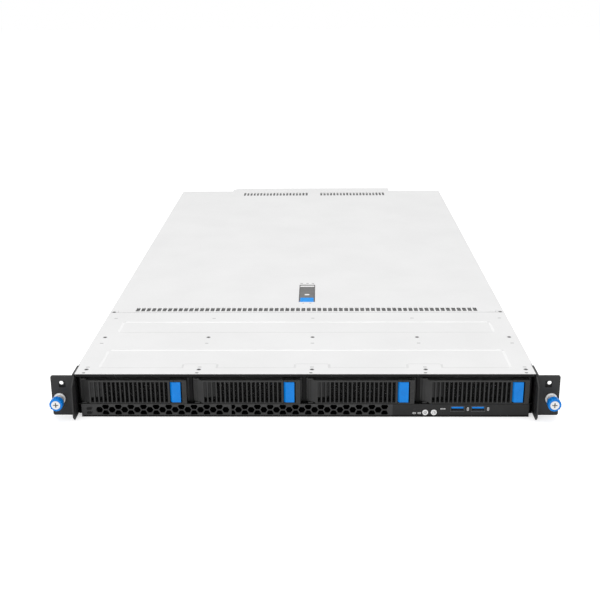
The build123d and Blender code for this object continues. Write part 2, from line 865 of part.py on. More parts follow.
def tray_lock(centre, name):
    """Bevelled slide with a stem through the tray's plate and a retaining foot behind it."""
    left = centre + lock_left
    right = centre + lock_right
    front = face_y - lock_proud
    stem_x = (centre + stem_u[0], centre + stem_u[1])
    foot_y = tray_plate_y + tray_sheet + seat_gap
    with BuildPart() as lock:
        plan(
            (
                (left, front + lock_bevel),
                (left + lock_bevel, front),
                (right, front),
                (right, tray_plate_y - seat_gap),
                (left, tray_plate_y - seat_gap),
            ),
            (lock_bottom, lock_top),
        )
        slab(stem_x, (tray_plate_y - 1, foot_y + 0.8), stem_z)
        slab((stem_x[0] - 1, stem_x[1] + 1), (foot_y, foot_y + 1), (stem_z[0] - 2, stem_z[1] + 2))
    finish(lock, name)


def disk_drive(centre, name):
    """Three and a half inch drive with a raised lid and a recess for its connector."""
    bottom = tray_bottom + tray_floor + 0.1
    top = bottom + drive_height
    y = (drive_y, drive_y + drive_length)
    x = (centre - drive_width / 2, centre + drive_width / 2)
    with BuildPart() as drive:
        slab(x, y, (bottom, top - drive_lid))
        chamfer(drive.edges().filter_by(Axis.Z), length=drive_corner)
        slab(
            (x[0] + drive_inset, x[1] - drive_inset),
            (y[0] + drive_inset, y[1] - drive_inset),
            (top - drive_lid, top),
        )
        chamfer(drive.edges().filter_by(Axis.Z).group_by(Axis.Z)[-1], length=2 * drive_corner)
        slab((centre - 20, centre + 20), (y[1] - 6, y[1] + 1), (bottom - 1, bottom + 5), mode=Mode.SUBTRACT)
    finish(drive, name)


for number, centre_x in enumerate(bay_centres, start=1):
    drive_tray(centre_x, f"tray_{number}")
    tray_lever(centre_x, f"tray_lever_{number}")
    tray_lock(centre_x, f"tray_lock_{number}")
    disk_drive(centre_x, f"drive_{number}")


# Backplane behind the drives, with one connector for each
with BuildPart() as drive_backplane:
    with BuildSketch(face_plane(cage_rear)) as panel:
        span((-cage_outer + 3, cage_outer - 3), (sheet + seat_gap, cage_top - 2))
        opening_width = bay_pitch - 28.2
        with Locations(*[(x, 27) for x in bay_centres]):
            Rectangle(opening_width, 12, mode=Mode.SUBTRACT)
        with Locations(*[(x, 7) for x in bay_centres]):
            Rectangle(opening_width, 7, mode=Mode.SUBTRACT)
    extrude(panel.sketch, amount=-board)
    for x in bay_centres:
        connector_z = tray_bottom + tray_floor + 0.8
        slab((x - 19, x + 19), (cage_rear - 8, cage_rear), (connector_z, connector_z + 3.6))
finish(drive_backplane, "drive_backplane")


# Fan wall with six fans
fan_rear = fan_y + fan_length
fan_centres = sorted([side * x for side in signs for x in fan_x])

with BuildPart() as fan_cage:
    slab((-wall_in + 2, wall_in - 2), (fan_y - 2, fan_rear + 4), (sheet, fan_bottom))
    with BuildSketch(face_plane(fan_y - cage_sheet)) as wall:
        span((-wall_in + 2, wall_in - 2), (sheet, fan_bottom + fan_size))
        with Locations(*[(x, fan_z) for x in fan_centres]):
            Rectangle(2 * fan_bore_r, 2 * fan_bore_r, mode=Mode.SUBTRACT)
        with Locations((0, fan_bottom + fan_size)):
            Rectangle(2 * pan_half + 12, 2 * latch_depth + 4, mode=Mode.SUBTRACT)
    extrude(wall.sketch, amount=-cage_sheet)
finish(fan_cage, "fan_cage")

rotor_y = (fan_y + 3, fan_y + 3 + rotor_length)
motor_y = (fan_rear - motor_length, fan_rear)


def prism(x, y, sides, radius, mode=Mode.ADD, inner=False):
    """Many-sided bar along Y on a fan's axis; radius is to its corners, or to its sides if inner."""
    with BuildSketch(face_plane(y[0])) as outline:
        with Locations((x, fan_z)):
            RegularPolygon(radius, sides, major_radius=not inner)
    extrude(outline.sketch, amount=y[0] - y[1], mode=mode)


with BuildPart() as fan_housings:
    for x in fan_centres:
        slab((x - fan_size / 2, x + fan_size / 2), (fan_y, fan_rear), (fan_bottom, fan_bottom + fan_size))
        prism(x, (fan_y, fan_rear), fan_bore_sides, fan_bore_r, mode=Mode.SUBTRACT, inner=True)
        slab((x - fan_bore_r - 1, x + fan_bore_r + 1), (fan_rear - strut, fan_rear), (fan_z - 1, fan_z + 1))
        slab((x - 1, x + 1), (fan_rear - strut, fan_rear), (fan_z - fan_bore_r - 1, fan_z + fan_bore_r + 1))
        prism(x, motor_y, rotor_hub_sides, rotor_hub_r)
        prism(x, motor_y, rotor_shaft_sides, rotor_shaft_r + pin_gap, mode=Mode.SUBTRACT, inner=True)
finish(fan_housings, "fan_housings")


def fan_rotor(x, name):
    """Hub with flat pitched blades, and the shaft that turns in the motor's bearing."""
    with BuildPart() as rotor:
        prism(x, rotor_y, rotor_hub_sides, rotor_hub_r)
        rod(x, fan_z, (rotor_y[1], fan_rear - strut / 2), rotor_shaft_r)
        with BuildSketch(Plane.YZ) as blade_section:
            with BuildLine():
                Polyline(
                    (rotor_y[0] + 2, -3.2),
                    (rotor_y[1] - 2, 2.0),
                    (rotor_y[1] - 2, 2.0 + blade_thick),
                    (rotor_y[0] + 2, -3.2 + blade_thick),
                    close=True,
                )
            make_face()
        for blade in range(rotor_blades):
            turn = 360 / rotor_blades * blade
            root = Plane(origin=(x, 0, fan_z), x_dir=(0, 1, 0), z_dir=(1, 0, 0))
            root = root.rotated((0, turn, 0)).offset(rotor_hub_r - 1)
            section = root * blade_section.sketch_local
            extrude(section, amount=rotor_tip_r - rotor_hub_r, dir=root.z_dir)
    finish(rotor, name)


for number, centre_x in enumerate(fan_centres, start=1):
    fan_rotor(centre_x, f"fan_rotor_{number}")


# Main board on its standoffs, coolers, memory and the duct that leads air over them
standoff_y = (board_front + standoff_inset, board_wide_rear - standoff_inset)
standoff_x = (0.29 * board_half, board_half - standoff_inset)
standoff_spots = [(side * x, y) for side in signs for x in standoff_x for y in standoff_y]
standoff_spots += [(side * (board_narrow_half - standoff_inset), board_rear - standoff_inset) for side in signs]

with BuildPart() as motherboard:
    plan(
        (
            (-board_half, board_front),
            (board_half, board_front),
            (board_half, board_wide_rear),
            (board_narrow_half, board_wide_rear),
            (board_narrow_half, board_rear),
            (-board_narrow_half, board_rear),
            (-board_narrow_half, board_wide_rear),
            (-board_half, board_wide_rear),
        ),
        (board_z, board_top),
    )
    with BuildSketch(Plane.XY.offset(sheet)) as standoffs:
        with Locations(*standoff_spots):
            RegularPolygon(standoff_r, 6)
    extrude(standoffs.sketch, amount=board_z - sheet)
    slab((-30, 30), (board_wide_rear - 60, board_wide_rear - 20), (board_top, board_top + 4))
    for side in signs:
        socket_x = sorted((side * (board_narrow_half - 43), side * (board_narrow_half - 8)))
        slab(socket_x, (board_rear - 122, board_rear - 110), (board_top, board_top + 11))
finish(motherboard, "motherboard")

with BuildPart() as cpu_heatsinks:
    for side in signs:
        cooler_y = (cpu_y - cooler_size[1] / 2, cpu_y + cooler_size[1] / 2)
        x0 = side * cpu_x - cooler_size[0] / 2
        fin_pitch = (cooler_size[0] - fin_thick) / (cooler_fins - 1)
        with BuildSketch(face_plane(cooler_y[0])) as comb_profile:
            span((x0, x0 + cooler_size[0]), (board_top, board_top + cooler_base))
            for k in range(cooler_fins):
                fin_x = x0 + k * fin_pitch
                span((fin_x, fin_x + fin_thick), (board_top + cooler_base - 1, cooler_top))
        extrude(comb_profile.sketch, amount=-cooler_size[1])
finish(cpu_heatsinks, "cpu_heatsinks")

with BuildPart() as memory_modules:
    memory_y = (cpu_y - memory_length / 2, cpu_y + memory_length / 2)
    for side in signs:
        for bank_x in memory_bank_x:
            reach = (memory_per_bank - 1) / 2 * memory_pitch
            with BuildSketch(face_plane(memory_y[0])) as bank:
                span((side * bank_x - reach - 3, side * bank_x + reach + 3), (board_top, board_top + 5))
                for k in range(memory_per_bank):
                    x = side * bank_x - reach + k * memory_pitch
                    span((x - 0.8, x + 0.8), (board_top + 4, memory_top))
            extrude(bank.sketch, amount=-memory_length)
finish(memory_modules, "memory_modules")

with BuildPart() as air_duct:
    duct_reach = memory_length / 2 + duct_overlap
    duct_y = (cpu_y - duct_reach, cpu_y + duct_reach)
    duct_edge = cpu_x + cooler_size[0] / 2 + 4
    duct_inner = cpu_x - cooler_size[0] / 2 - 2
    duct_wall = 1.2
    slab((-duct_edge, duct_edge), duct_y, (memory_top + 1, memory_top + 1 + duct_wall))
    for side in signs:
        for x in (duct_inner, duct_edge):
            slab(sorted((side * x, side * (x - duct_wall))), duct_y, (board_top, memory_top + 1))
finish(air_duct, "air_duct")


# Power supplies with handle and release latch, and the board that they plug into
def power_supply(centre, names):
    """One supply: body with inlet and fan opening, a fixed handle and a sprung latch tab."""
    x = (centre - psu_width / 2, centre + psu_width / 2)
    z = (psu_bottom, psu_bottom + psu_height)
    fan_x0 = centre + psu_fan_offset
    fan_z0 = sum(z) / 2
    inlet_x = centre + inlet_offset
    tab_x = x[0] + 0.2
    tab_z = (fan_z0 - 4, fan_z0 - 4 + latch_tab[2])
    with BuildPart() as supply:
        slab(x, (psu_front, side_depth), z)
        with BuildSketch(face_plane(side_depth)) as outlet:
            with Locations((fan_x0, fan_z0)):
                RegularPolygon(psu_fan_r, fan_bore_sides)
        extrude(outlet.sketch, amount=psu_fan_depth, mode=Mode.SUBTRACT)
        with BuildSketch(face_plane(side_depth - 1.4)) as guard:
            with Locations((fan_x0, fan_z0)):
                Rectangle(2 * psu_fan_r + 1, 1.4)
                Rectangle(1.4, 2 * psu_fan_r + 1)
        extrude(guard.sketch, amount=-1.4)
        with BuildSketch(face_plane(side_depth)) as inlet:
            with Locations((inlet_x, inlet_z)):
                Rectangle(*inlet_size)
        extrude(inlet.sketch, amount=inlet_depth, mode=Mode.SUBTRACT)
        with BuildSketch(face_plane(side_depth - inlet_depth)) as blades:
            with Locations((inlet_x - 7, inlet_z - 1.5), (inlet_x + 7, inlet_z - 1.5), (inlet_x, inlet_z + 2.5)):
                Rectangle(2, 4)
        extrude(blades.sketch, amount=-(inlet_depth - 3))
        slab(
            (x[0] - 1, tab_x + latch_tab[0] + latch_tab_travel + seat_gap),
            (side_depth - 10, side_depth + 1),
            (tab_z[0] - seat_gap, tab_z[1] + seat_gap),
            mode=Mode.SUBTRACT,
        )
        slab((centre - 20, centre + 20), (psu_front - 8, psu_front), (z[0] + 6, z[0] + 6 + board))
    finish(supply, names[0])
    handle_x = (inlet_x - handle_width / 2, inlet_x + handle_width / 2)
    handle_y = (side_depth, side_depth + handle_reach)
    with BuildPart() as handle:
        slab(handle_x, handle_y, (handle_z, handle_z + handle_bar))
        slab(
            (handle_x[0] + handle_bar, handle_x[1] - handle_bar),
            (handle_y[0], handle_y[1] - handle_bar),
            (handle_z - 1, handle_z + handle_bar + 1),
            mode=Mode.SUBTRACT,
        )
        corners = handle.edges().filter_by(Axis.Z).group_by(Axis.Y)[-1]
        chamfer(corners, length=2.4)
    finish(handle, names[1])
    with BuildPart() as tab:
        slab((tab_x, tab_x + latch_tab[0]), (side_depth - 9.7, side_depth + latch_tab[1]), tab_z)
        chamfer(tab.edges().filter_by(Axis.X).group_by(Axis.Y)[-1], length=2.0)
    finish(tab, names[2])


for side_name, centre_x in (("left", -psu_x), ("right", psu_x)):
    power_supply(centre_x, (f"psu_{side_name}", f"psu_handle_{side_name}", f"psu_latch_{side_name}"))

with BuildPart() as power_board:
    for side in signs:
        x = side * psu_x
        y = (board_wide_rear + 1, psu_front - 1)
        slab((x - 32, x + 32), y, (sheet, sheet + board))
        slab((x - 24, x + 24), (psu_front - 12, psu_front - 1), (sheet + board, psu_bottom + 14))
        cup = (psu_front - 9, psu_front)
        slab((x - 20.5, x + 20.5), cup, (psu_bottom + 5.5, psu_bottom + 8.1), mode=Mode.SUBTRACT)
finish(power_board, "power_board")


# Rear panel, its ports and the blank slot covers
panel_y = (full_depth - sheet, full_depth)
panel_x = (-tail_half + tail_corner + sheet, tail_half - sheet)
port_gap = 0.2
port_outlines = [(x, *rj45_size) for x in rj45_x]
port_outlines += [(usb_stack_x, *usb_stack_size), (vga_x, *vga_size)]
slot_windows = [(span_x, slot_cover_z) for span_x in slot_cover_spans]
slot_windows.append((lower_slot_span, lower_slot_z))

with BuildPart() as rear_panel:
    with BuildSketch(face_plane(panel_y[0])) as panel:
        span(panel_x, (sheet, cover_under))
        for x, width, height in port_outlines:
            with Locations((x, port_z + height / 2)):
                Rectangle(width + 2 * port_gap, height + 2 * port_gap, mode=Mode.SUBTRACT)
        for (x0, x1), z in slot_windows:
            with Locations(((x0 + x1) / 2, z)):
                Rectangle(x1 - x0 - 6, slot_cover_height - 3, mode=Mode.SUBTRACT)
    extrude(panel.sketch, amount=-sheet)
finish(rear_panel, "rear_panel")

with BuildPart() as rear_io_ports:
    port_y = (full_depth - port_depth, full_depth)
    for x, width, height in port_outlines:
        slab((x - width / 2, x + width / 2), port_y, (port_z, port_z + height))
    for x in rj45_x:
        mouth_z = port_z + 3
        slab(
            (x - rj45_mouth[0] / 2, x + rj45_mouth[0] / 2),
            (full_depth - 13, full_depth + 1),
            (mouth_z, mouth_z + rj45_mouth[1]),
            mode=Mode.SUBTRACT,
        )
    for z in (port_z + 1.4, port_z + 9.0):
        slab(
            (usb_stack_x - usb_width / 2, usb_stack_x + usb_width / 2),
            (full_depth - 11, full_depth + 1),
            (z, z + usb_height + 0.5),
            mode=Mode.SUBTRACT,
        )
        slab(
            (usb_stack_x - usb_tongue[0] / 2, usb_stack_x + usb_tongue[0] / 2),
            (full_depth - 11, full_depth - 2),
            (z + 2.6, z + 2.6 + usb_tongue[1]),
        )
    slab((vga_x - 8.5, vga_x + 8.5), (full_depth - 6, full_depth + 1), (port_z + 2, port_z + 10), mode=Mode.SUBTRACT)
finish(rear_io_ports, "rear_io_ports")

with BuildPart() as slot_covers:
    for (x0, x1), z in slot_windows:
        cover_y = panel_y[0]
        with BuildSketch(face_plane(cover_y)) as blank:
            span((x0, x1), (z - slot_cover_height / 2, z + slot_cover_height / 2))
            with Locations(((x0 + x1) / 2, z)):
                slit_pitch = (x1 - x0 - 8) / slit_count
                with GridLocations(slit_pitch, 1, slit_count, 1):
                    Rectangle(slit_share * slit_pitch, 6, mode=Mode.SUBTRACT)
        extrude(blank.sketch, amount=cover_sheet)
finish(slot_covers, "slot_covers")
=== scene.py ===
"""Looks of the 1U rack server: materials for every CAD part, small fittings, floor, light and camera."""
import json
import math

import bmesh
import bpy
from mathutils import Matrix, Vector
from mathutils.geometry import tessellate_polygon


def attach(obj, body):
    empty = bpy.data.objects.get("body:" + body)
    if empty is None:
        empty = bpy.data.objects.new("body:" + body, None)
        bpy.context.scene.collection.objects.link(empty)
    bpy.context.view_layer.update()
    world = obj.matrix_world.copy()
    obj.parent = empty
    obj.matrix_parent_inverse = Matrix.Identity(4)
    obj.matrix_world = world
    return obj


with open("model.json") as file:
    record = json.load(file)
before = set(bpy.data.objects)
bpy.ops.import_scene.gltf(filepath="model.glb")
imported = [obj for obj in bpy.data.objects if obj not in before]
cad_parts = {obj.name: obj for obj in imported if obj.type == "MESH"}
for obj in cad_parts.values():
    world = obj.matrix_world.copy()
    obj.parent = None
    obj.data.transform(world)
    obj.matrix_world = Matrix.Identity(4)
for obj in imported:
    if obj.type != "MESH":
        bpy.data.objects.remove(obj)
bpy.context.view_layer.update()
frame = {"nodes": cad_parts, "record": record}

MM = 0.001
SIDES = (-1, 1)

# Faces of the part in the frame's axes; lengths are in millimetres, but for the floor's and the lamps'
COVER_TOP = 43.6
COVER_UNDER = 42.6
STRIP_FACE = -0.8
SIDE_FACE = 219.5
BODY_REAR = 820.0
TAIL_REAR = 842.5
# Depth of the dark front of the galvanised sheet, black paint and painted shade
FRONT_PAINT_AND_SHADE_DEPTH = 24.0

# Camera fitted to the photograph: place in millimetres, angles in radians, focal length in pixels
CAMERA_PLACE = (14.4, -876.9, 407.1)
CAMERA_YAW = -0.02028
CAMERA_PITCH = 0.31926
CAMERA_ROLL = -0.00798
CAMERA_FOCAL = 1003.2
CAMERA_CLIP = 10.0
IMAGE_SIZE = 600
SENSOR = 36.0

# Stretch of a noise's range over which colour and roughness change
NOISE_LOW = 0.3
NOISE_HIGH = 0.7


# Material helpers
def start_material(name, color, metallic, roughness, specular=0.5):
    """New node material; returns it with its tree and shader."""
    made = bpy.data.materials.new(name)
    made.use_nodes = True
    shader = made.node_tree.nodes["Principled BSDF"]
    shader.inputs["Base Color"].default_value = (*color, 1)
    shader.inputs["Metallic"].default_value = metallic
    shader.inputs["Roughness"].default_value = roughness
    shader.inputs["Specular IOR Level"].default_value = specular
    return made, made.node_tree, shader


def coordinates(tree):
    """Object coordinates in metres."""
    return tree.nodes.new("ShaderNodeTexCoord").outputs["Object"]


def noise(tree, size_mm, detail):
    """Noise whose features are about size_mm wide."""
    node = tree.nodes.new("ShaderNodeTexNoise")
    node.inputs["Scale"].default_value = 1 / (size_mm * MM)
    node.inputs["Detail"].default_value = detail
    tree.links.new(coordinates(tree), node.inputs["Vector"])
    return node.outputs["Fac"]


def cells(tree, size_mm):
    """Random grey for each crystal-like cell about size_mm wide."""
    node = tree.nodes.new("ShaderNodeTexVoronoi")
    node.inputs["Scale"].default_value = 1 / (size_mm * MM)
    tree.links.new(coordinates(tree), node.inputs["Vector"])
    return node.outputs["Color"]


def tint(tree, shader, source, dark, light, low=NOISE_LOW, high=NOISE_HIGH):
    """Base colour that goes from dark to light with source."""
    ramp = tree.nodes.new("ShaderNodeValToRGB")
    ramp.color_ramp.elements[0].position = low
    ramp.color_ramp.elements[0].color = (*dark, 1)
    ramp.color_ramp.elements[1].position = high
    ramp.color_ramp.elements[1].color = (*light, 1)
    tree.links.new(source, ramp.inputs["Fac"])
    tree.links.new(ramp.outputs["Color"], shader.inputs["Base Color"])
    return ramp.outputs["Color"]


def shade_and_paint_ahead(tree, shader, paint, front, limit_mm):
    """Gives the surface ahead of depth limit_mm the colour front, and the rest its paint; the front colour is
    painted shade on the cover's flange, and black paint that also stands in as painted shade on the
    galvanised sheet.
    """
    split = tree.nodes.new("ShaderNodeSeparateXYZ")
    ahead = tree.nodes.new("ShaderNodeMath")
    ahead.operation = "LESS_THAN"
    ahead.inputs[1].default_value = limit_mm * MM
    mix = tree.nodes.new("ShaderNodeMixRGB")
    mix.inputs["Color2"].default_value = (*front, 1)
    tree.links.new(coordinates(tree), split.inputs["Vector"])
    tree.links.new(split.outputs["Y"], ahead.inputs[0])
    tree.links.new(ahead.outputs["Value"], mix.inputs["Fac"])
    tree.links.new(paint, mix.inputs["Color1"])
    tree.links.new(mix.outputs["Color"], shader.inputs["Base Color"])


def gloss_change(tree, shader, source, low, high):
    """Roughness that goes from low to high with source."""
    span = tree.nodes.new("ShaderNodeMapRange")
    span.inputs["From Min"].default_value = NOISE_LOW
    span.inputs["From Max"].default_value = NOISE_HIGH
    span.inputs["To Min"].default_value = low
    span.inputs["To Max"].default_value = high
    tree.links.new(source, span.inputs["Value"])
    tree.links.new(span.outputs["Result"], shader.inputs["Roughness"])


def relief(tree, shader, source, height_mm, strength):
    """Bump of about height_mm."""
    bump = tree.nodes.new("ShaderNodeBump")
    bump.inputs["Strength"].default_value = strength
    bump.inputs["Distance"].default_value = height_mm * MM
    tree.links.new(source, bump.inputs["Height"])
    tree.links.new(bump.outputs["Normal"], shader.inputs["Normal"])


def grey(value):
    return (value, value, value)


# Finishes: one function for each kind, which takes the values of its table below
def cover_paint(name, tone, front):
    """Pale plated cover; the face of its front flange gets a painted shade, the dark of the bezel."""
    made, tree, shader = start_material(name, grey(tone), metallic=0.0, roughness=0.5, specular=0.25)
    cloud = noise(tree, size_mm=60, detail=4)
    paint = tint(tree, shader, cloud, dark=grey(tone * 0.98), light=grey(tone * 1.02))
    # ahead of the front edge the flange gets the tone front, a painted shade
    shade_and_paint_ahead(tree, shader, paint, grey(front), limit_mm=0.0)
    relief(tree, shader, noise(tree, size_mm=0.8, detail=2), height_mm=0.02, strength=0.35)
    gloss_change(tree, shader, noise(tree, size_mm=4, detail=4), low=0.46, high=0.58)
    return made


def zinc_coat(name, tone, dark, light, front):
    """Galvanised sheet with its spangle, dark at the front: black paint there, which also stands in as
    painted shade for the inside seen through the front openings.
    """
    made, tree, shader = start_material(name, grey(tone), metallic=0.85, roughness=0.4)
    paint = tint(tree, shader, cells(tree, size_mm=7), dark, light, low=0.1, high=0.9)
    # black paint ahead of this depth, also a painted shade for the inside
    shade_and_paint_ahead(tree, shader, paint, grey(front), FRONT_PAINT_AND_SHADE_DEPTH)
    gloss_change(tree, shader, noise(tree, size_mm=9, detail=4), low=0.34, high=0.5)
    relief(tree, shader, noise(tree, size_mm=1.2, detail=2), height_mm=0.01, strength=0.3)
    return made


def bright_steel(name, tone, rough, metallic):
    """Bare or plated metal with a fine change of gloss."""
    made, tree, shader = start_material(name, grey(tone), metallic, roughness=0.28)
    tint(tree, shader, noise(tree, size_mm=3, detail=3), dark=grey(tone * 0.9), light=grey(tone))
    gloss_change(tree, shader, noise(tree, size_mm=1.0, detail=3), *rough)
    return made


def dark_coat(name, tone, rough, grain):
    """Powder coat or textured moulding; grain is the size of its texture."""
    made, tree, shader = start_material(name, grey(tone), metallic=0.0, roughness=0.42, specular=0.4)
    cloud = noise(tree, size_mm=14, detail=4)
    tint(tree, shader, cloud, dark=grey(tone * 0.85), light=grey(tone * 1.15))
    relief(tree, shader, noise(tree, size_mm=grain, detail=2), height_mm=0.02, strength=0.4)
    gloss_change(tree, shader, noise(tree, size_mm=5, detail=3), *rough)
    return made


def moulding(name, dark, light, rough, specular):
    """Smooth coloured plastic."""
    made, tree, shader = start_material(name, light, metallic=0.0, roughness=0.3, specular=specular)
    tint(tree, shader, noise(tree, size_mm=6, detail=3), dark, light)
    relief(tree, shader, noise(tree, size_mm=0.35, detail=2), height_mm=0.01, strength=0.25)
    gloss_change(tree, shader, noise(tree, size_mm=2, detail=3), *rough)
    return made


def solder_mask(name, dark, light):
    """Printed board: fine straight tracks under a green mask."""
    made, tree, shader = start_material(name, light, metallic=0.0, roughness=0.35)
    tracks = tree.nodes.new("ShaderNodeTexBrick")
    tracks.inputs["Scale"].default_value = 90
    tracks.inputs["Mortar Size"].default_value = 0.06
    tracks.inputs["Color1"].default_value = (*dark, 1)
    tracks.inputs["Color2"].default_value = (*light, 1)
    tracks.inputs["Mortar"].default_value = (*(channel * 1.8 for channel in light), 1)
    tree.links.new(coordinates(tree), tracks.inputs["Vector"])
    tree.links.new(tracks.outputs["Color"], shader.inputs["Base Color"])
    gloss_change(tree, shader, noise(tree, size_mm=3, detail=3), low=0.28, high=0.42)
    return made


# Tone, and tone of the surface ahead of the cover's front edge, a painted shade on the cover's flange
PAINTS = {
    "cover_steel": (0.80, 0.005),
    # lighter and darker copies of the cover paint, a painted highlight and a painted shade on the pressed
    # edges
    "press_light": (0.87, 0.87),
    "press_shade": (0.70, 0.70),
}
# Tone, dark and light of the spangle, and tone of the front: black paint that also stands in as painted shade
# for the inside seen through the front openings
ZINCS = {
    "galvanised_steel": (0.66, (0.60, 0.61, 0.62), (0.70, 0.71, 0.72), 0.012),
}
# Tone, roughness from and to, metallic
STEELS = {
    "screw_steel": (0.78, (0.22, 0.36), 1.0),
    "thumb_steel": (0.92, (0.3, 0.42), 0.5),
    "port_steel": (0.7, (0.25, 0.4), 1.0),
    "supply_steel": (0.6, (0.35, 0.5), 1.0),
    "cooler_aluminium": (0.72, (0.3, 0.45), 1.0),
    "drive_case": (0.55, (0.35, 0.5), 1.0),
}
# Tone, roughness from and to, grain
DARKS = {
    "black_steel": (0.024, (0.36, 0.5), 0.5),
    "strip_coat": (0.038, (0.36, 0.5), 0.5),
    "panel_coat": (0.013, (0.38, 0.5), 0.35),
    "tray_black": (0.025, (0.36, 0.5), 0.5),
    "black_plastic": (0.026, (0.40, 0.52), 0.3),
    "duct_plastic": (0.02, (0.3, 0.4), 0.5),
    "supply_plastic": (0.015, (0.36, 0.5), 0.5),
    "latch_grey": (0.11, (0.35, 0.48), 0.5),
    # near-black: painted shade in holes, recesses and gaps and on sheets where only shade is; also the black
    # of the tray mesh and ticks
    "black_and_painted_shade": (0.003, (0.6, 0.75), 0.5),
    # grey of the vent screens, a painted shade
    "vent_shade": (0.16, (0.5, 0.65), 0.5),
    # dark screw heads and marks; also the painted shadow on the latch pan's rear wall
    "screw_dark_and_shade": (0.07, (0.3, 0.42), 0.5),
    # grey of the faint marks, and painted shade along the seam and on the screw dishes
    "mark_and_shade_grey": (0.42, (0.4, 0.5), 0.5),
    "symbol_dark": (0.09, (0.35, 0.45), 0.5),
}
# Dark, light, roughness from and to, specular level
MOULDINGS = {
    "tip_blue": ((0.002, 0.27, 0.80), (0.003, 0.31, 0.88), (0.4, 0.5), 0.12),
    "blue_plastic": ((0.002, 0.186, 0.62), (0.003, 0.216, 0.70), (0.26, 0.36), 0.3),
    "button_white": (grey(0.80), grey(0.86), (0.26, 0.36), 0.5),
    "mark_pale": (grey(0.50), grey(0.58), (0.26, 0.36), 0.5),
    "light_pipe": (grey(0.012), grey(0.02), (0.08, 0.14), 0.5),
    "contact_gold": ((0.75, 0.52, 0.20), (0.85, 0.62, 0.27), (0.26, 0.36), 0.5),
    "led_green": ((0.03, 0.25, 0.06), (0.05, 0.35, 0.09), (0.1, 0.2), 0.5),
}
# Dark and light of the mask
BOARDS = {
    "circuit_board": ((0.006, 0.05, 0.022), (0.01, 0.075, 0.035)),
    "memory_board": ((0.006, 0.045, 0.03), (0.01, 0.07, 0.045)),
}


def make_materials():
    """Materials by the record's slot names, and the finishes of the small fittings."""
    tables = (
        (cover_paint, PAINTS),
        (zinc_coat, ZINCS),
        (bright_steel, STEELS),
        (dark_coat, DARKS),
        (moulding, MOULDINGS),
        (solder_mask, BOARDS),
    )
    return {name: finish(name, *values) for finish, table in tables for name, values in table.items()}


materials = make_materials()


# Carried-over CAD nodes: finish and softened edges
WELD_DISTANCE = 1e-6
BEVEL_SEGMENTS = 2
BEVEL_ANGLE = 40
EDGE_ROUNDING = {
    "cover_steel": 0.25,
    "black_steel": 0.2,
    "black_plastic": 0.25,
    "blue_plastic": 0.35,
    "button_white": 0.3,
    "screw_steel": 0.2,
    "latch_grey": 0.2,
    "supply_plastic": 0.5,
}
NODE_FINISH = {
    "usb_ports": "symbol_dark",
    "latch_tip": "tip_blue",
    "thumbscrew_ferrules": "thumb_steel",
    "captive_screw_left": "thumb_steel",
    "captive_screw_right": "thumb_steel",
    "front_vent_panel": "strip_coat",
    "front_io_panel": "panel_coat",
}


def soften(obj, width_mm):
    """Joins the loaded mesh's split corners and rounds its sharp edges a little."""
    weld = obj.modifiers.new("weld", "WELD")
    weld.merge_threshold = WELD_DISTANCE
    bevel = obj.modifiers.new("bevel", "BEVEL")
    bevel.width = width_mm * MM
    bevel.segments = BEVEL_SEGMENTS
    bevel.limit_method = "ANGLE"
    bevel.angle_limit = math.radians(BEVEL_ANGLE)
    bevel.use_clamp_overlap = True
    bevel.harden_normals = True


def dress_nodes():
    """Gives each CAD node its material; the fans are hidden and keep their plain edges."""
    for part in frame["record"]["subparts"]:
        obj = frame["nodes"][part["node"]]
        slot = part["material_slot"]
        obj.data.materials.clear()
        obj.data.materials.append(materials[NODE_FINISH.get(part["node"], slot)])
        if slot in EDGE_ROUNDING and not part["node"].startswith("fan"):
            soften(obj, EDGE_ROUNDING[slot])


dress_nodes()


# Outlines in a plane, as lists of points; the tuples below hold these functions' values in order
CORNER_STEPS = 4


def rect(u0, u1, v0, v1):
    return [(u0, v0), (u1, v0), (u1, v1), (u0, v1)]


def rounded(u0, u1, v0, v1, radius):
    """Rectangle with round corners."""
    centres = (
        (u1 - radius, v1 - radius),
        (u0 + radius, v1 - radius),
        (u0 + radius, v0 + radius),
        (u1 - radius, v0 + radius),
    )
    points = []
    for quarter, (u, v) in enumerate(centres):
        for k in range(CORNER_STEPS + 1):
            turn = (quarter + k / CORNER_STEPS) * math.pi / 2
            points.append((u + radius * math.cos(turn), v + radius * math.sin(turn)))
    return points


def centred(u, v, half_u, half_v):
    """Rectangle about a centre."""
    return rect(u - half_u, u + half_u, v - half_v, v + half_v)


def pill(u, v, half_u, half_v, radius):
    """Rectangle with round corners about a centre."""
    return rounded(u - half_u, u + half_u, v - half_v, v + half_v, radius)


def oval(u, v, half_u, half_v=None, steps=20):
    turns = [2 * math.pi * k / steps for k in range(steps)]
    return [(u + half_u * math.cos(t), v + (half_v or half_u) * math.sin(t)) for t in turns]


def cross(u, v, length, width):
    """Outline of a plus sign."""
    a, b = width / 2, length / 2
    corner = [(a, a), (a, b), (-a, b), (-a, a), (-b, a), (-b, -a), (-a, -a), (-a, -b), (a, -b), (a, -a)]
    return [(u + du, v + dv) for du, dv in corner + [(b, -a), (b, a)]]


def moved(outline, du, dv=0):
    return [(u + du, v + dv) for u, v in outline]


def mirrored(side, span):
    """Span from low to high on one side of the middle plane."""
    return sorted(side * place for place in span)


# Pieces: how an outline's plane and depth stand in the frame, and how the meshes are finished
LIFT = {
    "top": lambda u, v, w: (u, v, w),
    "front": lambda u, v, w: (u, w, v),
    "side": lambda u, v, w: (w, u, v),
}
JOIN_DISTANCE = 1e-6
SHARP_ANGLE = 35


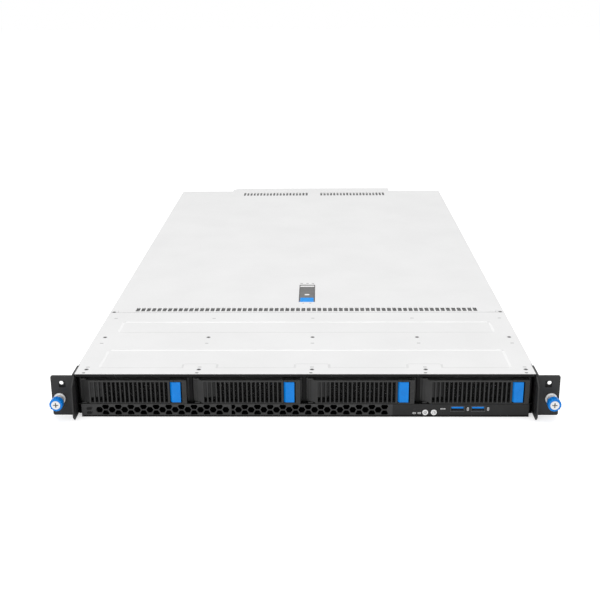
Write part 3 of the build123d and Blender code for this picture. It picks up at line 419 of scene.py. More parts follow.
class Form:
    """A mesh built from outlines that are drawn facing top, front or side; w runs across them."""

    def __init__(self, facing):
        self.facing = facing
        self.mesh = bmesh.new()

    def vert(self, u, v, w):
        return self.mesh.verts.new(Vector(LIFT[self.facing](u, v, w)) * MM)

    def slab(self, outline, low, high, holes=()):
        """Closed plate with the outline and holes, from low to high."""
        loops = [outline, *holes]
        flat = [point for loop in loops for point in loop]
        below = [self.vert(u, v, low) for u, v in flat]
        above = [self.vert(u, v, high) for u, v in flat]
        for corners in tessellate_polygon([[Vector((u, v, 0)) for u, v in loop] for loop in loops]):
            self.mesh.faces.new([below[k] for k in corners])
            self.mesh.faces.new([above[k] for k in corners])
        start = 0
        for loop in loops:
            for k in range(len(loop)):
                a, b = start + k, start + (k + 1) % len(loop)
                self.mesh.faces.new((below[a], below[b], above[b], above[a]))
            start += len(loop)

    def turned(self, u, v, profile, steps, closed=False):
        """Solid of revolution about the line through (u, v); profile holds (radius, w) pairs."""
        rings = []
        for radius, w in profile:
            turns = [2 * math.pi * k / steps for k in range(steps if radius else 1)]
            rings.append([self.vert(u + radius * math.cos(t), v + radius * math.sin(t), w) for t in turns])
        if closed:
            rings.append(rings[0])
        for low, high in zip(rings, rings[1:]):
            for k in range(steps):
                n = k + 1
                quad = (low[k % len(low)], low[n % len(low)], high[n % len(high)], high[k % len(high)])
                corners = list(dict.fromkeys(quad))
                if len(corners) > 2:
                    self.mesh.faces.new(corners)

    def comb(self, u0, u1, v0, v1, pitch, wall, w):
        """Single sheet of six-sided holes, for a thickness given when the piece is made."""
        outer, inner = pitch / math.sqrt(3), (pitch - wall) / math.sqrt(3)
        row_step = 1.5 * outer
        rows = int((v1 - v0 - 2 * outer) / row_step) + 1
        columns = int((u1 - u0 - 1.5 * pitch) / pitch) + 1
        turns = [math.radians(30 + 60 * k) for k in range(6)]
        for row in range(rows):
            for column in range(columns):
                u = u0 + pitch * (column + 0.5 + 0.5 * (row % 2))
                v = v0 + outer + row * row_step
                rim = [self.vert(u + outer * math.cos(t), v + outer * math.sin(t), w) for t in turns]
                hole = [self.vert(u + inner * math.cos(t), v + inner * math.sin(t), w) for t in turns]
                for k in range(6):
                    n = (k + 1) % 6
                    self.mesh.faces.new((rim[k], rim[n], hole[n], hole[k]))

    def done(self, name, body, slot, finish=None, thickness=0.0, rounding=0.0):
        """Turns the form into a piece that rides on body."""
        bmesh.ops.remove_doubles(self.mesh, verts=self.mesh.verts, dist=JOIN_DISTANCE)
        bmesh.ops.recalc_face_normals(self.mesh, faces=self.mesh.faces)
        data = bpy.data.meshes.new(name)
        self.mesh.to_mesh(data)
        self.mesh.free()
        data.shade_smooth()
        data.set_sharp_from_angle(angle=math.radians(SHARP_ANGLE))
        piece = bpy.data.objects.new(name, data)
        bpy.context.scene.collection.objects.link(piece)
        data.materials.append(materials[finish or slot])
        if thickness:
            solid = piece.modifiers.new("thickness", "SOLIDIFY")
            solid.thickness = thickness * MM
            solid.offset = 0
        if rounding:
            soften(piece, rounding)
        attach(piece, body)


# Front cover: flush screws in their dishes, with painted shade on the dishes and on the floors of the cross
# recesses
SCREW_COLUMNS = (-208.8, -100.9, 7.3, 115.5, 210.5)
SCREW_ROWS = (11.3, 99.5)
CORNER_SCREW_X = 215.0
CORNER_SCREW_Y = 180.0
DISH_RADIUS = 2.3
DISH_HOLE = 1.7
SCREW_RADIUS = 1.65
SCREW_RISE = 0.12
SCREW_CROSS = (2.0, 0.55)
RECESS_RADIUS = 1.2
FILM_RISE = 0.03


def cover_screws():
    heads, recess_shade, dish_shade = Form("top"), Form("top"), Form("top")
    spots = [(x, y) for x in SCREW_COLUMNS for y in SCREW_ROWS]
    spots += [(side * CORNER_SCREW_X, CORNER_SCREW_Y) for side in SIDES]
    film = (COVER_TOP, COVER_TOP + FILM_RISE)
    for x, y in spots:
        dish_shade.slab(oval(x, y, DISH_RADIUS), *film, [oval(x, y, DISH_HOLE)])
        recess_shade.slab(oval(x, y, RECESS_RADIUS), *film)
        heads.slab(oval(x, y, SCREW_RADIUS), COVER_TOP, COVER_TOP + SCREW_RISE, [cross(x, y, *SCREW_CROSS)])
    heads.done("cover_screw_heads", "case", "screw_steel", "screw_dark_and_shade")
    recess_shade.done("cover_screw_recess_shade", "case", "black_steel", "black_and_painted_shade")
    dish_shade.done("cover_screw_dish_shade", "case", "cover_steel", "mark_and_shade_grey")


# Front cover: sheared marks beside the screws, and a painted shade along its rear seam
EDGE_MARK_SHIFT = -1.0
EDGE_MARK_Y = 2.9
EDGE_MARK_RADII = (1.7, 1.1)
FAINT_MARK_ROWS = (17.4, 82.0, 159.0)
FAINT_MARK = (1.9, 0.8, 0.7)
FAINT_MARK_RISE = 0.04
SEAM_SHADE = (-218.4, 218.4, 178.3, 179.2)


def cover_marks():
    faint, dark = Form("top"), Form("top")
    film = (COVER_TOP, COVER_TOP + FILM_RISE)
    for x in SCREW_COLUMNS:
        dark.slab(oval(x + EDGE_MARK_SHIFT, EDGE_MARK_Y, *EDGE_MARK_RADII), *film)
        for y in FAINT_MARK_ROWS:
            faint.slab(pill(x, y, *FAINT_MARK), COVER_TOP, COVER_TOP + FAINT_MARK_RISE)
    # painted shade along the seam between the covers
    faint.slab(rect(*SEAM_SHADE), *film)
    faint.done("cover_faint_marks_and_seam_shade", "case", "cover_steel", "mark_and_shade_grey")
    dark.done("cover_edge_marks", "case", "black_steel", "screw_dark_and_shade")


# Front cover: rolled edges of its two pressed panels; the front panel leaves out three tabs. The rear and
# side edges carry a painted highlight, the front and tab edges a painted shade
PANEL_FLOOR = 43.2
PANEL_HALF = 198.6
FRONT_PANEL = (15.0, 63.5)
REAR_PANEL = (113.5, 148.0)
PANEL_CORNER = 3.0
SLOPE_WIDTH = 2.2
SLOPE_SINK = 0.02
TAB_COLUMNS = SCREW_COLUMNS[1:4]
TAB_HALF = 15.5
TAB_END = 25.0


def slope(form, reach, edge, side):
    """Rolled edge at place edge that falls towards side and runs over reach."""
    foot = edge + side * SLOPE_WIDTH
    form.slab([(edge, COVER_TOP - SLOPE_SINK), (foot, PANEL_FLOOR), (edge, PANEL_FLOOR)], *reach)


def pressed_edges():
    lit, shaded, sides, tabs = Form("side"), Form("side"), Form("front"), Form("front")
    end = PANEL_HALF - PANEL_CORNER
    slope(lit, (-end, end), REAR_PANEL[1], -1)
    slope(lit, (-end, end), FRONT_PANEL[1], -1)
    slope(shaded, (-end, end), REAR_PANEL[0], 1)
    starts = [-end] + [x + TAB_HALF for x in TAB_COLUMNS]
    ends = [x - TAB_HALF for x in TAB_COLUMNS] + [end]
    for reach in zip(starts, ends):
        slope(shaded, reach, FRONT_PANEL[0], 1)
    for x in TAB_COLUMNS:
        slope(shaded, (x - TAB_HALF, x + TAB_HALF), TAB_END, 1)
    for y0, y1 in (FRONT_PANEL, REAR_PANEL):
        for side in SIDES:
            slope(sides, (y0 + PANEL_CORNER, y1 - PANEL_CORNER), side * PANEL_HALF, -side)
    for x in TAB_COLUMNS:
        for side in SIDES:
            slope(tabs, (FRONT_PANEL[0], TAB_END), x + side * TAB_HALF, side)
    lit.done("panel_rear_edge_highlights", "case", "cover_steel", "press_light")
    shaded.done("panel_front_edge_shades", "case", "cover_steel", "press_shade")
    sides.done("panel_side_edge_highlights", "case", "cover_steel", "press_light")
    tabs.done("panel_tab_edge_shades", "case", "cover_steel", "press_shade")


# Rear cover: screens under its vent slots, whose grey is painted shade for the inside seen through the slots
VENTS = (
    (-194.0, 193.0, 182.0, 196.0),
    (-114.5, -3.5, 782.5, 807.5),
    (14.8, 125.8, 782.5, 807.5),
)
SCREEN_PITCH = 2.6
SCREEN_WALL = 1.5
SCREEN_SHEET = 0.22
SCREEN_DROP = 0.16


def vent_screens():
    screen = Form("top")
    for vent in VENTS:
        screen.comb(*vent, SCREEN_PITCH, SCREEN_WALL, COVER_UNDER - SCREEN_DROP)
    screen.done("vent_screens", "cover", "black_steel", "vent_shade", thickness=SCREEN_SHEET)


# Cover latch: strip over the hinge, press mark, folded sides, painted shadow on the rear wall of the pan,
# dimples
LATCH_TOP = 43.2
HINGE_STRIP = (-8.5, 8.5, 274.0, 278.6, 0.8)
HINGE_STRIP_RISE = 0.25
STRIP_ROUNDING = 0.08
PRESS_MARK = (-2.8, 2.8, 241.5, 246.0, 1.2)
PRESS_MARK_RISE = 0.05
FOLD_X = (7.7, 8.95)
FOLD_Y = (218.0, 273.6)
FOLD_RISE = 0.04
PAN_WALL = (-9.2, 9.2, 40.0, 43.5)
PAN_WALL_Y = (281.1, 281.35)
REAR_DIMPLES = (-7.0, 0.0, 6.6)
REAR_DIMPLE_Y = 286.6
REAR_DIMPLE = (1.6, 0.8, 0.7)
FRONT_DIMPLES = (-4.0, 4.0)
FRONT_DIMPLE_Y = 210.8
FRONT_DIMPLE = (1.0, 0.6, 0.5)
DIMPLE_RISE = 0.04


def latch_details():
    strip, mark, dimples = Form("top"), Form("top"), Form("top")
    strip.slab(rounded(*HINGE_STRIP), LATCH_TOP, LATCH_TOP + HINGE_STRIP_RISE)
    strip.done("latch_hinge_strip", "cover_latch", "screw_steel", "press_light", rounding=STRIP_ROUNDING)
    mark.slab(rounded(*PRESS_MARK), LATCH_TOP, LATCH_TOP + PRESS_MARK_RISE)
    mark.done("latch_press_mark", "cover_latch", "button_white")
    folds, wall = Form("top"), Form("front")
    for side in SIDES:
        folds.slab(rect(*mirrored(side, FOLD_X), *FOLD_Y), LATCH_TOP, LATCH_TOP + FOLD_RISE)
    folds.done("latch_side_folds", "cover_latch", "latch_grey", "screw_dark_and_shade")
    # dark sheet on the pan's rear wall, a painted shadow
    wall.slab(rect(*PAN_WALL), *PAN_WALL_Y)
    wall.done("latch_pan_rear_shadow", "cover", "cover_steel", "screw_dark_and_shade")
    for x in REAR_DIMPLES:
        dimples.slab(pill(x, REAR_DIMPLE_Y, *REAR_DIMPLE), COVER_TOP, COVER_TOP + DIMPLE_RISE)
    for x in FRONT_DIMPLES:
        dimples.slab(pill(x, FRONT_DIMPLE_Y, *FRONT_DIMPLE), COVER_TOP, COVER_TOP + DIMPLE_RISE)
    dimples.done("latch_dimples", "cover", "cover_steel", "latch_grey")


# Drive trays: mesh behind the grille, black and also painted shade for the slots; light pipes; tick over the
# lock; and a sheet of painted shade ahead of the drive's top
BAYS = (1, 2, 3, 4)
BAY_PITCH = 108.2
MIDDLE_BAY = 2.5
MESH_X = (-46.0, 33.6)
MESH_Z = (14.2, 36.4)
MESH_Y = 5.25
MESH_PITCH = 3.1
MESH_WALL = 1.9
MESH_SHEET = 0.35
PIPE_X = (47.1, 49.1)
PIPE_Y = (-1.12, -0.95)
PIPE_FEET = (18.6, 28.2)
PIPE_HEIGHT = 6.2
PIPE_CORNER = 0.6
TICK = (38.2, 38.9, 35.95, 37.35)
TICK_Y = (-1.05, -0.98)
SHADE_SHEET = (-50.0, 50.0, 37.3, 40.7)
SHADE_SHEET_Y = (8.0, 8.6)


def tray_fittings(number, centre, body):
    mesh, pipes, tick, shade_sheet = Form("front"), Form("front"), Form("front"), Form("front")
    mesh.comb(centre + MESH_X[0], centre + MESH_X[1], *MESH_Z, MESH_PITCH, MESH_WALL, MESH_Y)
    mesh.done(f"tray_mesh_{number}", body, "tray_black", "black_and_painted_shade", thickness=MESH_SHEET)
    for foot in PIPE_FEET:
        pipes.slab(moved(rounded(*PIPE_X, foot, foot + PIPE_HEIGHT, PIPE_CORNER), centre), *PIPE_Y)
    pipes.done(f"tray_light_pipes_{number}", body, "black_plastic", "light_pipe")
    tick.slab(moved(rect(*TICK), centre), *TICK_Y)
    tick.done(f"tray_tick_{number}", body, "tray_black", "black_and_painted_shade")
    # sheet of painted shade above the tray's top, where the gap looks black
    shade_sheet.slab(moved(rect(*SHADE_SHEET), centre), *SHADE_SHEET_Y)
    shade_sheet.done(f"tray_shade_sheet_{number}", body, "tray_black", "black_and_painted_shade")


# Drives: lid screws and spindle cap
DRIVE_TOP = 40.1
LID_SCREW_X = (-44.0, 44.0)
LID_SCREW_Y = (18.0, 83.0, 148.0)
LID_SCREW_RADIUS = 1.7
LID_SCREW_RISE = 0.3
LID_SOCKET_RADIUS = 0.7
SPINDLE_Y = 62.0
SPINDLE_PROFILE = ((0, 0), (13.0, 0), (13.0, 0.35), (11.8, 0.35), (11.8, 0.12), (0, 0.12))
SPINDLE_STEPS = 40


def drive_fittings(number, centre, body):
    screws, spindle = Form("top"), Form("top")
    for x in (centre + u for u in LID_SCREW_X):
        for y in LID_SCREW_Y:
            head = oval(x, y, LID_SCREW_RADIUS, steps=16)
            socket = oval(x, y, LID_SOCKET_RADIUS, steps=6)
            screws.slab(head, DRIVE_TOP, DRIVE_TOP + LID_SCREW_RISE, [socket])
    screws.done(f"drive_lid_screws_{number}", body, "screw_steel")
    profile = [(radius, DRIVE_TOP + rise) for radius, rise in SPINDLE_PROFILE]
    spindle.turned(centre, SPINDLE_Y, profile, SPINDLE_STEPS)
    spindle.done(f"drive_spindle_cap_{number}", body, "drive_case")


def tray_details(number):
    centre = (number - MIDDLE_BAY) * BAY_PITCH
    body = f"carrier_{number}"
    tray_fittings(number, centre, body)
    drive_fittings(number, centre, body)


# Front strip: indicator holes, plain marks, tongues in the sockets, ribs at the left end and painted shadows
# between them
INDICATORS = ((104.6, 7.6), (109.4, 7.6), (131.5, 4.2))
INDICATOR_RADIUS = 0.75
PLAIN_RISE = 0.05
WIDE_MARKS = ((104.6, 3.7), (109.4, 3.7))
WIDE_MARK = (1.5, 0.9, 0.5)
WIDE_MARK_HOLE = (0.9, 0.35, 0.3)
TALL_MARKS = ((155.5, 7.9), (174.7, 7.9))
TALL_MARK = (0.9, 1.7, 0.5)
TALL_MARK_HOLE = (0.35, 1.1, 0.3)
DASHES = ((130.1, 8.1), (131.8, 8.1), (133.5, 8.1))
DASH_HALF = 0.6
SOCKETS = (145.7, 165.2)
TONGUE_HALF = 5.7
TONGUE_Z = (8.35, 10.1)
TONGUE_DEPTH = (0.35, 4.2)
TONGUE_ROUNDING = 0.12
RIB_COLUMNS = (-212.4, -210.4, -208.4, -206.4, -204.4)
RIB_WIDTH = 0.9
RIB_LEAN = -0.3
RIB_Z = (2.4, 11.6)
RIB_RISE = 0.35
GAP_X = (-208.6, -203.8)
GAP_FEET = (2.7, 7.0)
GAP_HEIGHT = 2.7
GAP_CORNER = 0.9
GAP_Y = (STRIP_FACE - 0.4, STRIP_FACE + 0.02)


def strip_marks():
    dots, marks = Form("front"), Form("front")
    for x, z in INDICATORS:
        dots.slab(oval(x, z, INDICATOR_RADIUS, steps=14), STRIP_FACE - PLAIN_RISE, STRIP_FACE + PLAIN_RISE)
    dots.done("strip_indicators", "case", "black_plastic", "light_pipe")
    film = (STRIP_FACE - PLAIN_RISE, STRIP_FACE)
    for x, z in WIDE_MARKS:
        marks.slab(pill(x, z, *WIDE_MARK), *film, [pill(x, z, *WIDE_MARK_HOLE)])
    for x, z in TALL_MARKS:
        marks.slab(pill(x, z, *TALL_MARK), *film, [pill(x, z, *TALL_MARK_HOLE)])
    for x, z in DASHES:
        marks.slab(centred(x, z, DASH_HALF, DASH_HALF), *film)
    marks.done("strip_marks", "case", "button_white", "mark_pale")


def strip_fittings():
    tongues, ribs, gap_shadows = Form("front"), Form("front"), Form("front")
    for x in SOCKETS:
        outline = rect(x - TONGUE_HALF, x + TONGUE_HALF, *TONGUE_Z)
        tongues.slab(outline, *(STRIP_FACE + depth for depth in TONGUE_DEPTH))
    tongues.done("socket_tongues", "case", "blue_plastic", rounding=TONGUE_ROUNDING)
    foot, head = RIB_Z
    for x in RIB_COLUMNS:
        lean = x + RIB_LEAN
        outline = [(x, foot), (x + RIB_WIDTH, foot), (lean + RIB_WIDTH, head), (lean, head)]
        ribs.slab(outline, STRIP_FACE - RIB_RISE, STRIP_FACE)
    ribs.done("strip_end_ribs", "case", "black_steel", "strip_coat")
    # dark slabs between the ribs, painted shadows of the slanted ribs
    for foot in GAP_FEET:
        gap_shadows.slab(rounded(*GAP_X, foot, foot + GAP_HEIGHT, GAP_CORNER), *GAP_Y)
    gap_shadows.done("strip_end_gap_shadows", "case", "black_steel", "black_and_painted_shade")


# Symbols on the two round buttons: a ring with a dot, and a ring with a short stroke; no real sign
LOCATE_KEY = (115.1, 4.4)
POWER_KEY = (123.3, 4.4)
KEY_FRONT = STRIP_FACE - 0.3
SYMBOL_RISE = 0.04
LOCATE_RING = (1.5, 1.05)
LOCATE_DOT = 0.45
POWER_RING = (1.65, 1.35)
POWER_STROKE = ((-0.35, -0.25), (-0.05, -0.55), (1.35, 1.0), (1.05, 1.3))


def key_symbols():
    ring, bar = Form("front"), Form("front")
    film = (KEY_FRONT - SYMBOL_RISE, KEY_FRONT)
    outer, inner = (oval(*LOCATE_KEY, radius) for radius in LOCATE_RING)
    ring.slab(outer, *film, [inner])
    ring.slab(oval(*LOCATE_KEY, LOCATE_DOT, steps=12), *film)
    ring.done("locate_symbol", "locate_key", "black_plastic", "symbol_dark")
    bar.slab(moved(POWER_STROKE, *POWER_KEY), *film)
    outer, inner = (oval(*POWER_KEY, radius) for radius in POWER_RING)
    bar.slab(outer, *film, [inner])
    bar.done("power_symbol", "power_key", "black_plastic", "symbol_dark")


# Thumbscrews: painted shade on the floor of the cross recess
THUMB_X = 233.8
THUMB_Z = 18.4
THUMB_CROSS = (4.9, 1.1)
THUMB_FLOOR_Y = (-15.06, -14.98)


def thumb_recess(side, body):
    form = Form("front")
    form.slab(cross(side * THUMB_X, THUMB_Z, *THUMB_CROSS), *THUMB_FLOOR_Y)
    form.done(f"cross_recess_shade_{body}", body, "screw_steel", "latch_grey")


# Rack ears: painted shade on the floor of each square pocket, and the folded upper edge of each flange
POCKET_X = 230.4
POCKET_Z = 33.2
POCKET_HALF = 3.1
POCKET_Y = (0.85, 0.98)
RACK_HOLE_X = 231.4
RACK_HOLE_Z = 34.2
RACK_HOLE_RADIUS = 2.0
LIP_X = (218.15, 220.3)
LIP_Y = (-0.6, 22.0)
LIP_Z = (41.4, 43.55)
LIP_ROUNDING = 0.25


def ear_pockets():
    form = Form("front")
    for side in SIDES:
        hole = oval(side * RACK_HOLE_X, RACK_HOLE_Z, RACK_HOLE_RADIUS, steps=28)
        form.slab(centred(side * POCKET_X, POCKET_Z, POCKET_HALF, POCKET_HALF), *POCKET_Y, [hole])
    form.done("ear_pocket_floor_shade", "case", "black_steel", "black_and_painted_shade")


def ear_lips():
    form = Form("top")
    for side in SIDES:
        form.slab(rect(*mirrored(side, LIP_X), *LIP_Y), *LIP_Z)
    form.done("ear_flange_lips", "case", "black_steel", rounding=LIP_ROUNDING)


# Side walls: rivets, and painted shade in the slots of the cover catches
RIVET_COLUMNS = (60, 130, 250, 420, 500, 650, 740, 805)
RIVET_ROWS = (6.0, 38.5)
RIVET_DOME = ((0, 0), (1.9, 0), (1.7, 0.3), (1.0, 0.5), (0, 0.55))
RIVET_STEPS = 16
CATCH_COLUMNS = (210, 345, 475, 610, 745)
CATCH_Z = 32.0
CATCH = (6, 1.5, 1.4)
CATCH_RISE = 0.04


def side_details():
    rivets, catches = Form("side"), Form("side")
    for side in SIDES:
        dome = [(radius, side * (SIDE_FACE + rise)) for radius, rise in RIVET_DOME]
        for y in RIVET_COLUMNS:
            for z in RIVET_ROWS:
                rivets.turned(y, z, dome, RIVET_STEPS)
        for y in CATCH_COLUMNS:
            catches.slab(pill(y, CATCH_Z, *CATCH), *mirrored(side, (SIDE_FACE, SIDE_FACE + CATCH_RISE)))
    rivets.done("side_rivets", "case", "galvanised_steel")
    catches.done("side_catch_slot_shade", "case", "black_steel", "black_and_painted_shade")


# Power supplies from behind: wire guard, impeller, lining of the inlet, lamp; places from the supply's centre
SUPPLY_CENTRE = 176.15
FAN_X = 17.0
FAN_Z = 21.6
GUARD_RINGS = (5.5, 9.2, 12.9, 16.2)
GUARD_WIRE = 0.55
GUARD_Y = BODY_REAR - 0.7
WIRE_STEPS = 8
GUARD_STEPS = 40
HUB_PROFILE = ((0, 807), (7.0, 807), (7.0, 815), (6.2, 816), (0, 816))
HUB_STEPS = 32
BLADES = 7
BLADE_Y = (809, 810.5)
BLADE_CORNERS = ((6.5, 0.0), (6.5, 0.35), (15.8, 0.75), (15.8, 0.2))
INLET_X = -18.5
INLET_Z = 12.0
INLET_BODY = (12.05, 8.15)
INLET_MOUTH = (11.2, 7.3, 2.4)
INLET_Y = (804.7, BODY_REAR + 0.3)
INLET_BACK_Y = (804.1, 804.6)
INLET_SLOTS = ((-7, -1.5), (7, -1.5), (0, 2.5))
INLET_SLOT = (1.2, 2.2)
LAMP_X = -33.5
LAMP_Z = 36.5
LAMP_RADIUS = 1.3
LAMP_Y = (BODY_REAR - 0.1, BODY_REAR + 0.15)


def supply_fan(centre, body):
    x = centre + FAN_X
    guard, blades = Form("front"), Form("front")
    turns = [2 * math.pi * k / WIRE_STEPS for k in range(WIRE_STEPS)]
    for radius in GUARD_RINGS:
        wire = [(radius + GUARD_WIRE * math.cos(t), GUARD_Y + GUARD_WIRE * math.sin(t)) for t in turns]
        guard.turned(x, FAN_Z, wire, GUARD_STEPS, closed=True)
    guard.done(f"supply_guard_{body}", body, "supply_steel", "screw_steel")
    blades.turned(x, FAN_Z, HUB_PROFILE, HUB_STEPS)
    for k in range(BLADES):
        turn = 2 * math.pi * k / BLADES
        blade = [(radius * math.cos(turn + t), radius * math.sin(turn + t)) for radius, t in BLADE_CORNERS]
        blades.slab(moved(blade, x, FAN_Z), *BLADE_Y)
    blades.done(f"supply_impeller_{body}", body, "supply_plastic")


def supply_rear(side, body):
    centre = side * SUPPLY_CENTRE
    supply_fan(centre, body)
    liner, lamp = Form("front"), Form("front")
    x = centre + INLET_X
    outer = centred(x, INLET_Z, *INLET_BODY)
    slots = [centred(x + u, INLET_Z + v, *INLET_SLOT) for u, v in INLET_SLOTS]
    liner.slab(outer, *INLET_Y, [pill(x, INLET_Z, *INLET_MOUTH)])
    liner.slab(outer, *INLET_BACK_Y, slots)
    liner.done(f"supply_inlet_liner_{body}", body, "supply_plastic")
    lamp.slab(oval(centre + LAMP_X, LAMP_Z, LAMP_RADIUS, steps=18), *LAMP_Y)
    lamp.done(f"supply_lamp_{body}", body, "supply_plastic", "led_green")


# Rear ports: contacts, linings and lamps of the network sockets, the linings near-black as painted shade
# inside; heights from the ports' foot
PORT_FOOT = 8.8
NETWORK_X = (-23.96, -5.96, -99.96)
JACK = 5.85
JACK_Z = (3.05, 10.95)
JACK_MOUTH = 5.3
JACK_MOUTH_Z = (3.6, 10.7)
JACK_Y = (TAIL_REAR - 12.4, TAIL_REAR - 0.2)
JACK_BACK_Y = (TAIL_REAR - 12.95, TAIL_REAR - 12.5)
CONTACTS = 8
CONTACT_START = -3.6
CONTACT_PITCH = 1.03
CONTACT_HALF = 0.25
CONTACT_Z = (9.6, 10.6)
CONTACT_Y = (TAIL_REAR - 10, TAIL_REAR - 3)
PORT_LAMP_X = 4.6
PORT_LAMP_Z = 1.5
PORT_LAMP = (1.2, 0.6, 0.4)
PORT_LAMP_Y = (TAIL_REAR - 0.1, TAIL_REAR + 0.06)


def port_rect(x, half, heights):
    return rect(x - half, x + half, *(PORT_FOOT + height for height in heights))


def network_socket(x, liner_shades, gold, lamps):
    jack = port_rect(x, JACK, JACK_Z)
    liner_shades.slab(jack, *JACK_Y, [port_rect(x, JACK_MOUTH, JACK_MOUTH_Z)])
    liner_shades.slab(jack, *JACK_BACK_Y)
    for k in range(CONTACTS):
        gold.slab(port_rect(x + CONTACT_START + k * CONTACT_PITCH, CONTACT_HALF, CONTACT_Z), *CONTACT_Y)
    for side in SIDES:
        lamps.slab(pill(x + side * PORT_LAMP_X, PORT_FOOT + PORT_LAMP_Z, *PORT_LAMP), *PORT_LAMP_Y)


# Rear ports: insert, pin holes with painted shade, and nuts of the video socket
VIDEO_X = -50.96
VIDEO_Z = PORT_FOOT + 6
VIDEO_INSERT = (8.0, 3.7, 1.4)
VIDEO_INSERT_Y = (TAIL_REAR - 5.9, TAIL_REAR - 0.8)
PIN_ROWS = (-1, 0, 1)
PIN_COLUMNS = (-2, -1, 0, 1, 2)
PIN_PITCH = 2.3
PIN_ROW_STEP = 2
PIN_ROW_SHIFT = 0.8
PIN_RADIUS = 0.5
PIN_Y = (TAIL_REAR - 1.0, TAIL_REAR - 0.74)
NUT_X = 12.5
NUT_RADIUS = 2.6
NUT_HOLE = 1.2
NUT_RISE = 2.2


def video_socket(insert, pins, nuts):
    insert.slab(pill(VIDEO_X, VIDEO_Z, *VIDEO_INSERT), *VIDEO_INSERT_Y)
    for row in PIN_ROWS:
        for column in PIN_COLUMNS:
            x = VIDEO_X + column * PIN_PITCH + row * PIN_ROW_SHIFT
            pins.slab(oval(x, VIDEO_Z + row * PIN_ROW_STEP, PIN_RADIUS, steps=12), *PIN_Y)
    for x in (VIDEO_X - NUT_X, VIDEO_X + NUT_X):
        hole = oval(x, VIDEO_Z, NUT_HOLE, steps=16)
        nuts.slab(oval(x, VIDEO_Z, NUT_RADIUS, steps=6), TAIL_REAR, TAIL_REAR + NUT_RISE, [hole])


def rear_ports():
    gold, pins, nuts, lamps = Form("front"), Form("front"), Form("front"), Form("front")
    liner_shades, insert = Form("front"), Form("front")
    for x in NETWORK_X:
        network_socket(x, liner_shades, gold, lamps)
    video_socket(insert, pins, nuts)
    gold.done("rear_socket_contacts", "case", "port_steel", "contact_gold")
    pins.done("rear_video_pin_hole_shade", "case", "port_steel", "black_and_painted_shade")
    liner_shades.done("rear_socket_liner_shades", "case", "port_steel", "black_and_painted_shade")
    insert.done("rear_video_insert", "case", "blue_plastic")
    nuts.done("rear_video_nuts", "case", "screw_steel")
    lamps.done("rear_socket_lamps", "case", "port_steel", "led_green")


# Screws of the rear panel and its slot covers, with painted shade on the floors of their cross recesses
REAR_SCREWS = ((-112.0, 39.6), (-4.0, 39.6), (4.0, 39.6), (119.0, 39.6), (-114.0, 26.3), (119.0, 26.3))
REAR_SCREW_RADIUS = 2.3
REAR_SCREW_RISE = 0.7
REAR_SCREW_CROSS = (2.6, 0.7)
REAR_RECESS_RADIUS = 1.6
REAR_RECESS_RISE = 0.1


def rear_screws():
    heads, floors = Form("front"), Form("front")
    for x, z in REAR_SCREWS:
        head = oval(x, z, REAR_SCREW_RADIUS, steps=24)
        heads.slab(head, TAIL_REAR, TAIL_REAR + REAR_SCREW_RISE, [cross(x, z, *REAR_SCREW_CROSS)])
        floors.slab(oval(x, z, REAR_RECESS_RADIUS, steps=16), TAIL_REAR, TAIL_REAR + REAR_RECESS_RISE)
    heads.done("rear_screw_heads", "case", "screw_steel")
    floors.done("rear_screw_recess_shade", "case", "black_steel", "black_and_painted_shade")


cover_screws()
cover_marks()
pressed_edges()
vent_screens()
latch_details()
for bay in BAYS:
    tray_details(bay)
strip_marks()
strip_fittings()
key_symbols()
thumb_recess(-1, "thumbscrew_left")
thumb_recess(1, "thumbscrew_right")
ear_pockets()
ear_lips()
side_details()
supply_rear(-1, "supply_left")
supply_rear(1, "supply_right")
rear_ports()
rear_screws()


# Floor, world and lamps: levels, places in metres and powers in watts
FLOOR_SIZE = 12
FLOOR_PLACE = (0, 0.4, -0.0005)
FLOOR_TONE = 0.82
FLOOR_GLOW = 0.5
AMBIENT = 0.62
TOP_LAMP = {"place": (0, 0.5, 2.2), "target": (0, 0.4, 0), "size": (2.4, 2.4), "power": 22}
FRONT_LAMP = {"place": (-0.5, -2.2, 0.9), "target": (0, 0, 0), "size": (1.8, 1.0), "power": 26}


def white_floor():
    """Pale floor that keeps a soft shadow and is white to the camera elsewhere."""
    bpy.ops.mesh.primitive_plane_add(size=FLOOR_SIZE, location=FLOOR_PLACE)
    floor = bpy.context.object
    floor.name = "floor"
    made = bpy.data.materials.new("floor_white")
    made.use_nodes = True
    tree = made.node_tree
    tree.nodes.clear()
    diffuse = tree.nodes.new("ShaderNodeBsdfDiffuse")
    diffuse.inputs["Color"].default_value = (*grey(FLOOR_TONE), 1)
    glow = tree.nodes.new("ShaderNodeEmission")
    path = tree.nodes.new("ShaderNodeLightPath")
    level = tree.nodes.new("ShaderNodeMath")
    level.operation = "MULTIPLY"
    level.inputs[1].default_value = FLOOR_GLOW
    tree.links.new(path.outputs["Is Camera Ray"], level.inputs[0])
    tree.links.new(level.outputs["Value"], glow.inputs["Strength"])
    both = tree.nodes.new("ShaderNodeAddShader")
    out = tree.nodes.new("ShaderNodeOutputMaterial")
    tree.links.new(diffuse.outputs["BSDF"], both.inputs[0])
    tree.links.new(glow.outputs["Emission"], both.inputs[1])
    tree.links.new(both.outputs["Shader"], out.inputs["Surface"])
    floor.data.materials.append(made)


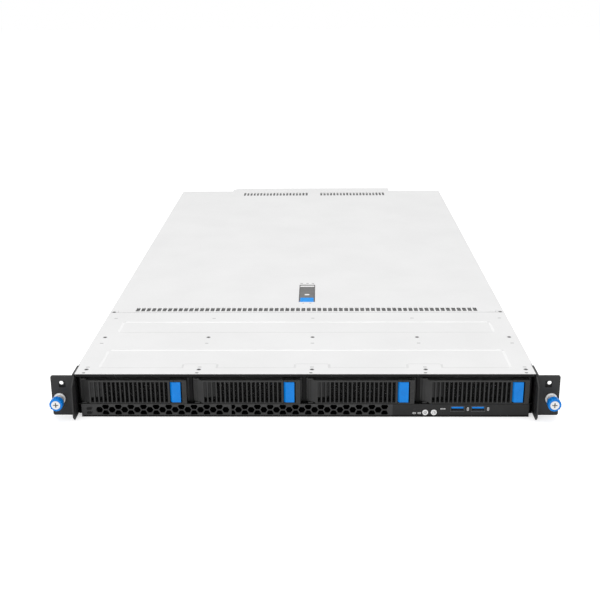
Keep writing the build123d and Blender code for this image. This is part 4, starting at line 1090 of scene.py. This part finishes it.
def white_world():
    """White to the camera and in reflections, and AMBIENT in the light it gives to surfaces."""
    world = bpy.data.worlds.new("studio")
    bpy.context.scene.world = world
    world.use_nodes = True
    tree = world.node_tree
    tree.nodes.clear()
    path = tree.nodes.new("ShaderNodeLightPath")
    seen = path.outputs["Is Camera Ray"]
    for name in ("Is Glossy Ray", "Is Transmission Ray"):
        larger = tree.nodes.new("ShaderNodeMath")
        larger.operation = "MAXIMUM"
        tree.links.new(seen, larger.inputs[0])
        tree.links.new(path.outputs[name], larger.inputs[1])
        seen = larger.outputs["Value"]
    strength = tree.nodes.new("ShaderNodeMapRange")
    strength.inputs["To Min"].default_value = AMBIENT
    strength.inputs["To Max"].default_value = 1.0
    tree.links.new(seen, strength.inputs["Value"])
    sky = tree.nodes.new("ShaderNodeBackground")
    sky.inputs["Color"].default_value = (1, 1, 1, 1)
    out = tree.nodes.new("ShaderNodeOutputWorld")
    tree.links.new(strength.outputs["Result"], sky.inputs["Strength"])
    tree.links.new(sky.outputs["Background"], out.inputs["Surface"])


def soft_lamp(name, place, target, size, power):
    """Wide lamp without a reflection of its own, so that pale sheet doesn't glare."""
    data = bpy.data.lights.new(name, "AREA")
    data.shape = "RECTANGLE"
    data.size, data.size_y = size
    data.energy = power
    lamp = bpy.data.objects.new(name, data)
    lamp.visible_glossy = False
    bpy.context.scene.collection.objects.link(lamp)
    lamp.location = place
    aim = Vector(target) - Vector(place)
    lamp.rotation_euler = aim.to_track_quat("-Z", "Y").to_euler()


def photo_camera():
    """Camera at the photograph's place and angle."""
    forward = Vector((
        math.sin(CAMERA_YAW) * math.cos(CAMERA_PITCH),
        math.cos(CAMERA_YAW) * math.cos(CAMERA_PITCH),
        -math.sin(CAMERA_PITCH),
    ))
    level_right = Vector((math.cos(CAMERA_YAW), -math.sin(CAMERA_YAW), 0))
    level_up = level_right.cross(forward)
    right = math.cos(CAMERA_ROLL) * level_right + math.sin(CAMERA_ROLL) * level_up
    up = -math.sin(CAMERA_ROLL) * level_right + math.cos(CAMERA_ROLL) * level_up
    data = bpy.data.cameras.new("camera")
    data.sensor_width = SENSOR
    data.lens = CAMERA_FOCAL / IMAGE_SIZE * SENSOR
    data.clip_start = CAMERA_CLIP * MM
    camera = bpy.data.objects.new("camera", data)
    bpy.context.scene.collection.objects.link(camera)
    turn = Matrix((right, up, -forward)).transposed().to_4x4()
    camera.matrix_world = Matrix.Translation(Vector(CAMERA_PLACE) * MM) @ turn
    bpy.context.scene.camera = camera


white_floor()
white_world()
soft_lamp("top_light", **TOP_LAMP)
soft_lamp("front_light", **FRONT_LAMP)
photo_camera()
bpy.context.scene.view_settings.view_transform = "Standard"
